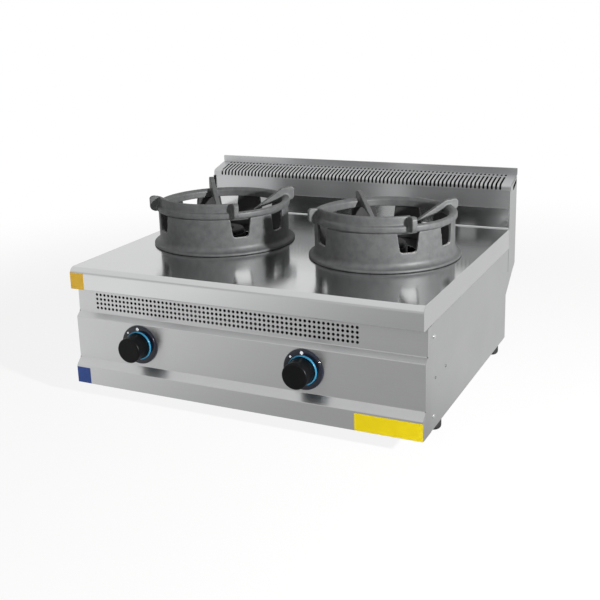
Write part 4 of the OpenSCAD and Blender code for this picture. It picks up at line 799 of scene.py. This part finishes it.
def makeBezel(side):
    radius, back, face, edge = bezel["radius"], bezel["back"], bezel["front"], bezel["edge"]
    (inner, outer), corner = bezelRing["radii"], bezel["corner"]
    inset, fall = bezel["slope"]
    profile = [(bezel["bore"], back), (radius - corner, back), (radius, back - corner)]
    profile += arc(radius - edge, face + edge + bezel["edgeFall"], edge, 0, bezel["edgeEnd"],
                   bezel["edgeSteps"])
    profile += [(radius - edge - inset, face + fall), (outer + bezel["land"], face),
                (bezel["well"] + corner, face), (bezel["well"], face + corner),
                (bezel["well"], bezel["floor"]), (bezel["bore"], bezel["floor"])]
    turnedPiece("bezel", profile, side, "root", "black_gloss", "bezel", closed=True)

    top, one, two = bezelRing["front"], bezelRing["outerEdge"], bezelRing["innerEdge"]
    profile = [(inner, face), (outer, face)]
    profile += arc(outer - one, top + one, one, 0, -90, bezelRing["steps"][0])
    profile += arc(inner + two, top + two, two, -90, -180, bezelRing["steps"][1])
    turnedPiece("bezelRing", profile, side, "root", "blue_plastic", "bezel_ring", closed=True)


def makeMarks(side):
    # Two plain marks are printed on the bezel: a drop at the top and a dot beside it
    (x, z), face = front["knobs"][side], bezel["front"]
    joined = bmesh.new()
    for right, up, size, lean, point in marks["shapes"]:
        outline = []
        for k in range(marks["sides"]):
            turn = 2 * math.pi * k / marks["sides"]
            rise = max(0, math.cos(turn - math.pi / 2 + lean)) ** marks["taper"]
            reach = size * (1 + point * rise)
            outline.append((x + right + reach * math.cos(turn), z + up + reach * math.sin(turn)))
        prism(joined, *([joined.verts.new((u, y, v)) for u, v in outline]
                        for y in (face + marks["sunk"], face - marks["proud"])))
    dress(fromBmesh("bezelMarks." + side, joined), "root", "white_print", "black_gloss")


for side in ("left", "right"):
    makeKnob(side)
    makeBezel(side)
    makeMarks(side)
print("knobs made")


# Small pieces keep their solids, with softened edges
for node, name, width, finish, slotName in (
        ("feet", "feet", 0.8, "rubber", "rubber"),
        ("rim_label", "rimLabel", 0.1, "amber_label", "yellow_label"),
        ("band_label_left", "bandLabelLeft", 0.1, "blue_label", "blue_label"),
        ("band_label_right", "bandLabelRight", 0.1, "yellow_label", "yellow_label"),
        ("manifold_brackets", "manifoldBrackets", 0.4, "zinc_steel", "zinc_steel"),
        ("burner_rails", "burnerRails", 0.4, "zinc_steel", "zinc_steel"),
        ("tube_rail", "tubeRail", 0.4, "zinc_steel", "zinc_steel"),
        ("gas_manifold", "gasManifold", 0.5, "zinc_steel", "zinc_steel")):
    dress(softened(node, name, width), "root", finish, slotName, node)

# The inner pieces show through the holes only: their solids stay and take a finish
nodeFinishes = {
    "mixing_tube": "bare_iron_in_shade", "injector_bracket": "zinc_steel", "injector": "brass",
    "supply_pipe": "copper", "pilot_burner": "zinc_steel", "pilot_pipe": "copper",
    "thermocouple": "copper", "gas_valve": "zinc_steel", "valve_sleeve": "brass",
    "spindle": "zinc_steel", "foot_studs": "zinc_steel", "side_screws": "screw_steel",
    "side_rivets": "rivet_steel", "rear_screws": "screw_steel"}
for node, holder in frame["nodes"].items():
    if holder.hide_render:
        continue
    kind = max((k for k in nodeFinishes if node.startswith(k)), key=len)
    if not holder.data.materials:
        holder.data.materials.append(None)
    for place in holder.material_slots:
        place.material = materials[nodeFinishes[kind]]
print("inner pieces painted")


# Floor, light and camera. What the steel mirrors is set apart from what lights the rest:
# a bright studio behind and on the left, a dimmer one in front on the right. Levels are
# shares of white, and each fade runs between two places, or two parts of a direction.
stage = {"floorSize": 16, "floorColour": "#f4f4f3", "floorGlow": 0.86, "glowFade": (0.9, 2.2),
         "floorLeft": 1.0, "floorRight": 0.45, "acrossFade": (-0.85, 0.15),
         "farLeft": 0.85, "farRight": 0.60, "farAcrossFade": (-1.8, -1.4),
         "farFade": (-2.0, -1.2), "floorBack": 0.72, "backFade": (-0.4, 0.2),
         "sky": 0.17, "mirrored": 0.88, "front": 0.62, "frontFade": (-0.85, -0.3),
         "leftFade": (-0.75, -0.55), "lowFade": (0.2, 0.5), "side": 0.62,
         "sideFade": (0.1, 0.8)}
lamps = {"target": (0, 0, 0.3),
         "keyLight": {"place": (2.4, -1.0, 1.08), "size": (0.14, 0.14), "power": 112},
         "fillLight": {"place": (-1.8, -2.6, 1.5), "size": (1.8, 1.2), "power": 9}}
shot = {"azimuth": 27.551, "elevation": 15.136, "roll": -2.22, "distance": 2.21812,
        "focalPixels": 971.26, "target": (-0.06394, -0.03155, 0.27265),
        "axisPixel": (270.62, 258.5), "pixels": 600, "sensor": 36}


def makeFloor():
    # White to the camera far out, and a matt floor that takes the shadow nearer by
    mesh = bpy.data.meshes.new("floor")
    half = stage["floorSize"] / 2
    mesh.from_pydata([(-half, -half, 0), (half, -half, 0), (half, half, 0), (-half, half, 0)],
                     [], [(0, 1, 2, 3)])
    floor = newObject("floor", mesh)
    material, tree = newMaterial("floor, matt white")
    rays = addNode(tree, "ShaderNodeLightPath").outputs
    place = addNode(tree, "ShaderNodeTexCoord").outputs["Object"]
    parts = addNode(tree, "ShaderNodeSeparateXYZ", inputs={0: place}).outputs
    across = fade(tree, parts["X"], stage["acrossFade"],
                  (stage["floorLeft"], stage["floorRight"]))
    farAcross = fade(tree, parts["X"], stage["farAcrossFade"],
                     (stage["farLeft"], stage["farRight"]))
    away = fade(tree, parts["Y"], stage["farFade"], (1, 0))
    ahead = blend(tree, away, across, farAcross)
    behind = fade(tree, parts["Y"], stage["backFade"])
    mirrored = blend(tree, behind, ahead, stage["floorBack"])
    strength = blend(tree, rays["Is Glossy Ray"], 1.0, mirrored)
    seen = calculate(tree, "MAXIMUM", rays["Is Camera Ray"], rays["Is Transmission Ray"])
    distance = addNode(tree, "ShaderNodeVectorMath", {"operation": "LENGTH"}, {0: place})
    white = fade(tree, distance.outputs["Value"], stage["glowFade"], (stage["floorGlow"], 1))
    share = calculate(tree, "MULTIPLY_ADD", seen, white, rays["Is Glossy Ray"], clamp=True)
    matt = addNode(tree, "ShaderNodeBsdfDiffuse", inputs={
        "Color": linear(stage["floorColour"])}).outputs[0]
    glow = addNode(tree, "ShaderNodeEmission", inputs={
        "Color": (1, 1, 1, 1), "Strength": strength}).outputs[0]
    mixed = addNode(tree, "ShaderNodeMixShader", inputs={0: share, 1: matt, 2: glow}).outputs[0]
    addNode(tree, "ShaderNodeOutputMaterial", inputs={"Surface": mixed})
    mesh.materials.append(material)


def makeWorld():
    # White to the camera; mirrored, it is dimmer low in front and on the right
    world = bpy.data.worlds.new("studio")
    scene.world = world
    world.use_nodes = True
    tree = world.node_tree
    tree.nodes.clear()
    rays = addNode(tree, "ShaderNodeLightPath").outputs
    way = addNode(tree, "ShaderNodeTexCoord").outputs["Generated"]
    parts = addNode(tree, "ShaderNodeSeparateXYZ", inputs={0: way}).outputs
    ahead = fade(tree, parts["Y"], stage["frontFade"], (1, 0))
    notLeft = fade(tree, parts["X"], stage["leftFade"])
    low = fade(tree, parts["Z"], stage["lowFade"], (1, 0))
    frontLow = calculate(tree, "MULTIPLY", calculate(tree, "MULTIPLY", ahead, notLeft), low)
    frontLevel = spread(tree, frontLow, (0, 1), (stage["mirrored"], stage["front"]))
    sideways = fade(tree, parts["X"], stage["sideFade"], (1, stage["side"]))
    mirrored = calculate(tree, "MULTIPLY", frontLevel, sideways)
    seen = calculate(tree, "MAXIMUM", rays["Is Camera Ray"], rays["Is Transmission Ray"])
    dim = blend(tree, rays["Is Glossy Ray"], stage["sky"], mirrored)
    light = addNode(tree, "ShaderNodeBackground", inputs={
        "Color": (1, 1, 1, 1), "Strength": blend(tree, seen, dim, 1.0)}).outputs[0]
    addNode(tree, "ShaderNodeOutputWorld", inputs={"Surface": light})


def allButSteel():
    # The steel sheets mirror the studio only: the key lamp would glare in their bends
    lit = bpy.data.collections.new("lit by the key lamp")
    for piece in scene.objects:
        if piece.type == "MESH" and not piece.hide_render:
            if not piece.material_slots[0].material.name.startswith("stainless"):
                lit.objects.link(piece)
    return lit


def addSoftbox(name):
    values = lamps[name]
    lamp = bpy.data.lights.new(name, "AREA")
    lamp.shape, lamp.energy = "RECTANGLE", values["power"]
    lamp.size, lamp.size_y = values["size"]
    holder = bpy.data.objects.new(name, lamp)
    scene.collection.objects.link(holder)
    holder.location = values["place"]
    toTarget = Vector(lamps["target"]) - Vector(values["place"])
    holder.rotation_euler = toTarget.to_track_quat("-Z", "Y").to_euler()
    return holder


def makeCamera():
    azimuth, elevation, roll = (math.radians(shot[k]) for k in ("azimuth", "elevation", "roll"))
    back = Vector((math.sin(azimuth) * math.cos(elevation),
                   -math.cos(azimuth) * math.cos(elevation), math.sin(elevation)))
    right = (-back).cross(Vector((0, 0, 1))).normalized()
    up = right.cross(-back)
    turned = right * math.cos(roll) + up * math.sin(roll)
    top = up * math.cos(roll) - right * math.sin(roll)
    data = bpy.data.cameras.new("camera")
    data.sensor_width = shot["sensor"]
    data.lens = shot["focalPixels"] / shot["pixels"] * shot["sensor"]
    data.shift_x = (shot["pixels"] / 2 - shot["axisPixel"][0]) / shot["pixels"]
    data.shift_y = (shot["axisPixel"][1] - shot["pixels"] / 2) / shot["pixels"]
    camera = bpy.data.objects.new("camera", data)
    scene.collection.objects.link(camera)
    turn = Matrix((turned, top, back)).transposed().to_4x4()
    camera.matrix_world = Matrix.Translation(
        Vector(shot["target"]) + back * shot["distance"]) @ turn
    scene.camera = camera


makeFloor()
makeWorld()
addSoftbox("keyLight").light_linking.receiver_collection = allButSteel()
addSoftbox("fillLight").visible_glossy = False
makeCamera()
scene.view_settings.view_transform = "Standard"
print("stage set")
